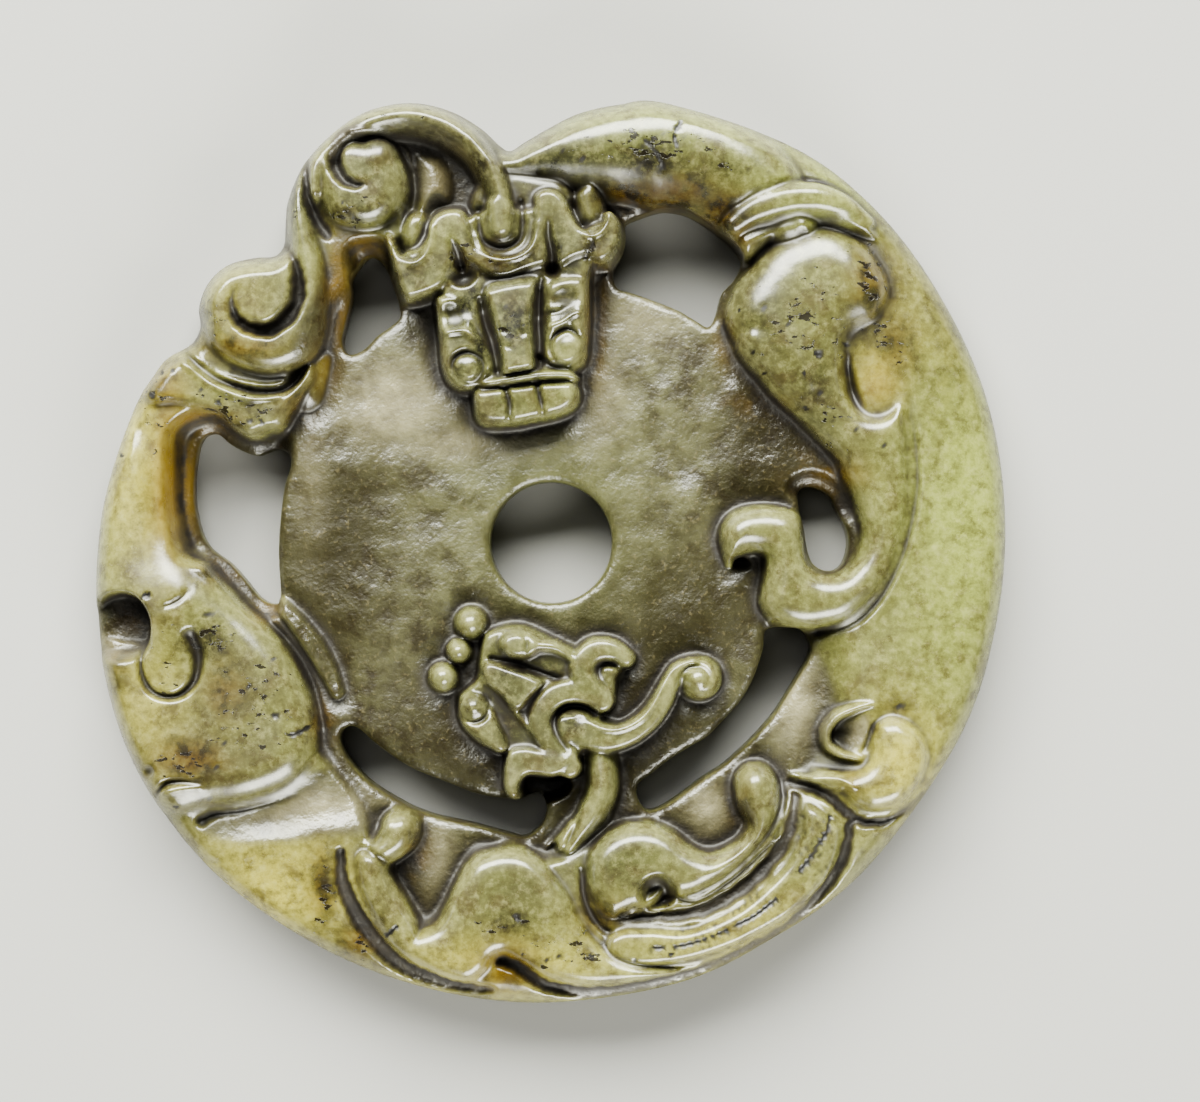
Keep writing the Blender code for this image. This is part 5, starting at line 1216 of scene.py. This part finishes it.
# Felted fibres, dirt and painted shade in the cuts and hollows, smoke with painted shade, rust and amber,
# then the black pits and flecks on top
body = blend(body, linear("#2f2a18"), spread(felt, 0.5, 0.7, 0.0, 0.5))
body = blend(body, linear("#a3a174"), spread(felt, 0.5, 0.32, 0.0, 0.22))
body = blend(body, field_tone, times(on["ground"], 0.93))
body = blend(body, linear("#3b352c"), times(on["channel"], spread(mottle, 0.3, 0.65, 0.5, 0.9)))
# Smoke, partly painted shade and painted dark reflection
body = blend(body, linear("#0f0e0b"), times(on["smoke_and_shade"], spread(felt, 0.4, 0.6, 0.45, 1.0)))
# Painted shade in broad hollows and at the feet of the forms
body = blend(body, linear("#1f170a"), times(on["under"], spread(mottle, 0.36, 0.62, 0.35, 1.0)))
rust = blend(linear("#463510"), linear("#150d04"), spread(mottle, 0.44, 0.58))
body = blend(body, rust, times(on["russet"], spread(mottle, 0.3, 0.5, 0.35, 1.0)))
body = blend(body, linear("#745c18"), times(on["amber"], 0.8))
speckled = times(on["ground"], spread(specks, 0.6, 0.72))
body = blend(body, linear("#6d6449"), times(speckled, 0.25))
# Near-black dirt in the pits and cracks, and painted shade in the creases and hollows
body = blend(body, linear("#171108"), times(on["grime_and_shade"], spread(mottle, 0.3, 0.58, 0.6, 1.0)))
body = blend(body, linear("#0d0a07"), on["pits"])
body = blend(body, linear("#120d07"), times(fleck, 0.9))

# Polish: the forms shine like wax, the ground is duller, and dirt and the creases painted with shade are
# duller still
matt = times(on["ground"], spread(times(on["brown"], on["pale"], "ADD"), 0.0, 1.0, 0.2, 0.07))
dull = times(matt, times(on["grime_and_shade"], 0.4), "ADD")
roughness = spread(times(dull, spread(mottle, 0.4, 0.7, 0.0, 0.08), "ADD"), 0.0, 1.0, 0.24, 0.9)

# Skin too fine for the mesh: tool grain on the ground and the rims of the open flecks
fine = node(tree, "ShaderNodeBump", [("Height", specks)], in_Distance=0.00009)
tree.links.new(fine.inputs["Strength"], spread(on["ground"], 0.0, 1.0, 0.05, 0.6))
rough_skin = node(tree, "ShaderNodeBump", [("Height", mottle), ("Normal", fine.outputs[0])],
    in_Distance=0.0003)
tree.links.new(rough_skin.inputs["Strength"], spread(on["ground"], 0.0, 1.0, 0.05, 0.3))
opened = node(tree, "ShaderNodeBump", [("Height", fleck), ("Normal", rough_skin.outputs[0])],
    in_Distance=0.00012, in_Strength=0.8, invert=True)
shader = node(tree, "ShaderNodeBsdfPrincipled",
    [("Base Color", body), ("Roughness", roughness), ("Normal", opened.outputs[0])], in_IOR=1.61)
shader.inputs["Subsurface Weight"].default_value = 0.06
shader.inputs["Subsurface Radius"].default_value = (1.0, 0.9, 0.5)
shader.inputs["Subsurface Scale"].default_value = 0.0012
node(tree, "ShaderNodeOutputMaterial", [("Surface", shader.outputs[0])])
disc.data.materials.clear()
disc.data.materials.append(jade)
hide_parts("jade_disc")
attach(disc, "root")

# The plain pale floor that the disc lies on, like matt paper, and soft studio light from behind
# and before
FLOOR_SIZE = 12.0
bpy.ops.object.select_all(action="DESELECT")
bpy.ops.mesh.primitive_plane_add(size=FLOOR_SIZE, location=(0, 0, 0))
floor = bpy.context.object
floor.name = "pale_floor"
paper = bpy.data.materials.new("matt_paper_floor")
paper.use_nodes = True
paper.node_tree.nodes["Principled BSDF"].inputs["Base Color"].default_value = linear("#93928f")
paper.node_tree.nodes["Principled BSDF"].inputs["Roughness"].default_value = 0.8
floor.data.materials.append(paper)


def lamp(name, place, width, height, power, tint):
    """A soft box that faces the disc."""
    data = bpy.data.lights.new(name, "AREA")
    data.shape = "RECTANGLE"
    data.size = width
    data.size_y = height
    data.energy = power
    data.color = tint
    light = bpy.data.objects.new(name, data)
    light.location = place
    towards = -light.location
    light.rotation_euler = towards.to_track_quat("-Z", "Y").to_euler()
    bpy.context.scene.collection.objects.link(light)


lamp("main_soft_box", (-0.125, 0.75, 0.55), 1.25, 0.55, 69.0, (0.98, 1.0, 0.93))
lamp("front_soft_box", (0.25, -0.8, 0.35), 0.6, 0.5, 23.0, (0.99, 1.0, 0.92))
lamp("overhead_soft_box", (-0.3, 0.35, 1.5), 0.75, 0.75, 1.9, (1.0, 1.0, 1.0))
world = bpy.data.worlds.new("studio")
world.use_nodes = True
world.node_tree.nodes["Background"].inputs["Color"].default_value = linear("#c8ccd0")
world.node_tree.nodes["Background"].inputs["Strength"].default_value = 0.05
bpy.context.scene.world = world
bpy.context.scene.view_settings.look = "AgX - Medium High Contrast"

# The camera looks straight down on the disc
CAMERA_DISTANCE = 0.195
VIEW_WIDTH = 0.078
VIEW_CENTRE = (0.0032, 0.0002)
LEVEL_OF_VIEW = 0.005
SENSOR_WIDTH = 36.0
camera = bpy.data.objects.new("camera", bpy.data.cameras.new("camera"))
camera.location = (VIEW_CENTRE[0], VIEW_CENTRE[1], LEVEL_OF_VIEW + CAMERA_DISTANCE)
camera.data.sensor_width = SENSOR_WIDTH
camera.data.lens = SENSOR_WIDTH * CAMERA_DISTANCE / VIEW_WIDTH
camera.data.clip_start = 0.01
bpy.context.scene.collection.objects.link(camera)
bpy.context.scene.camera = camera
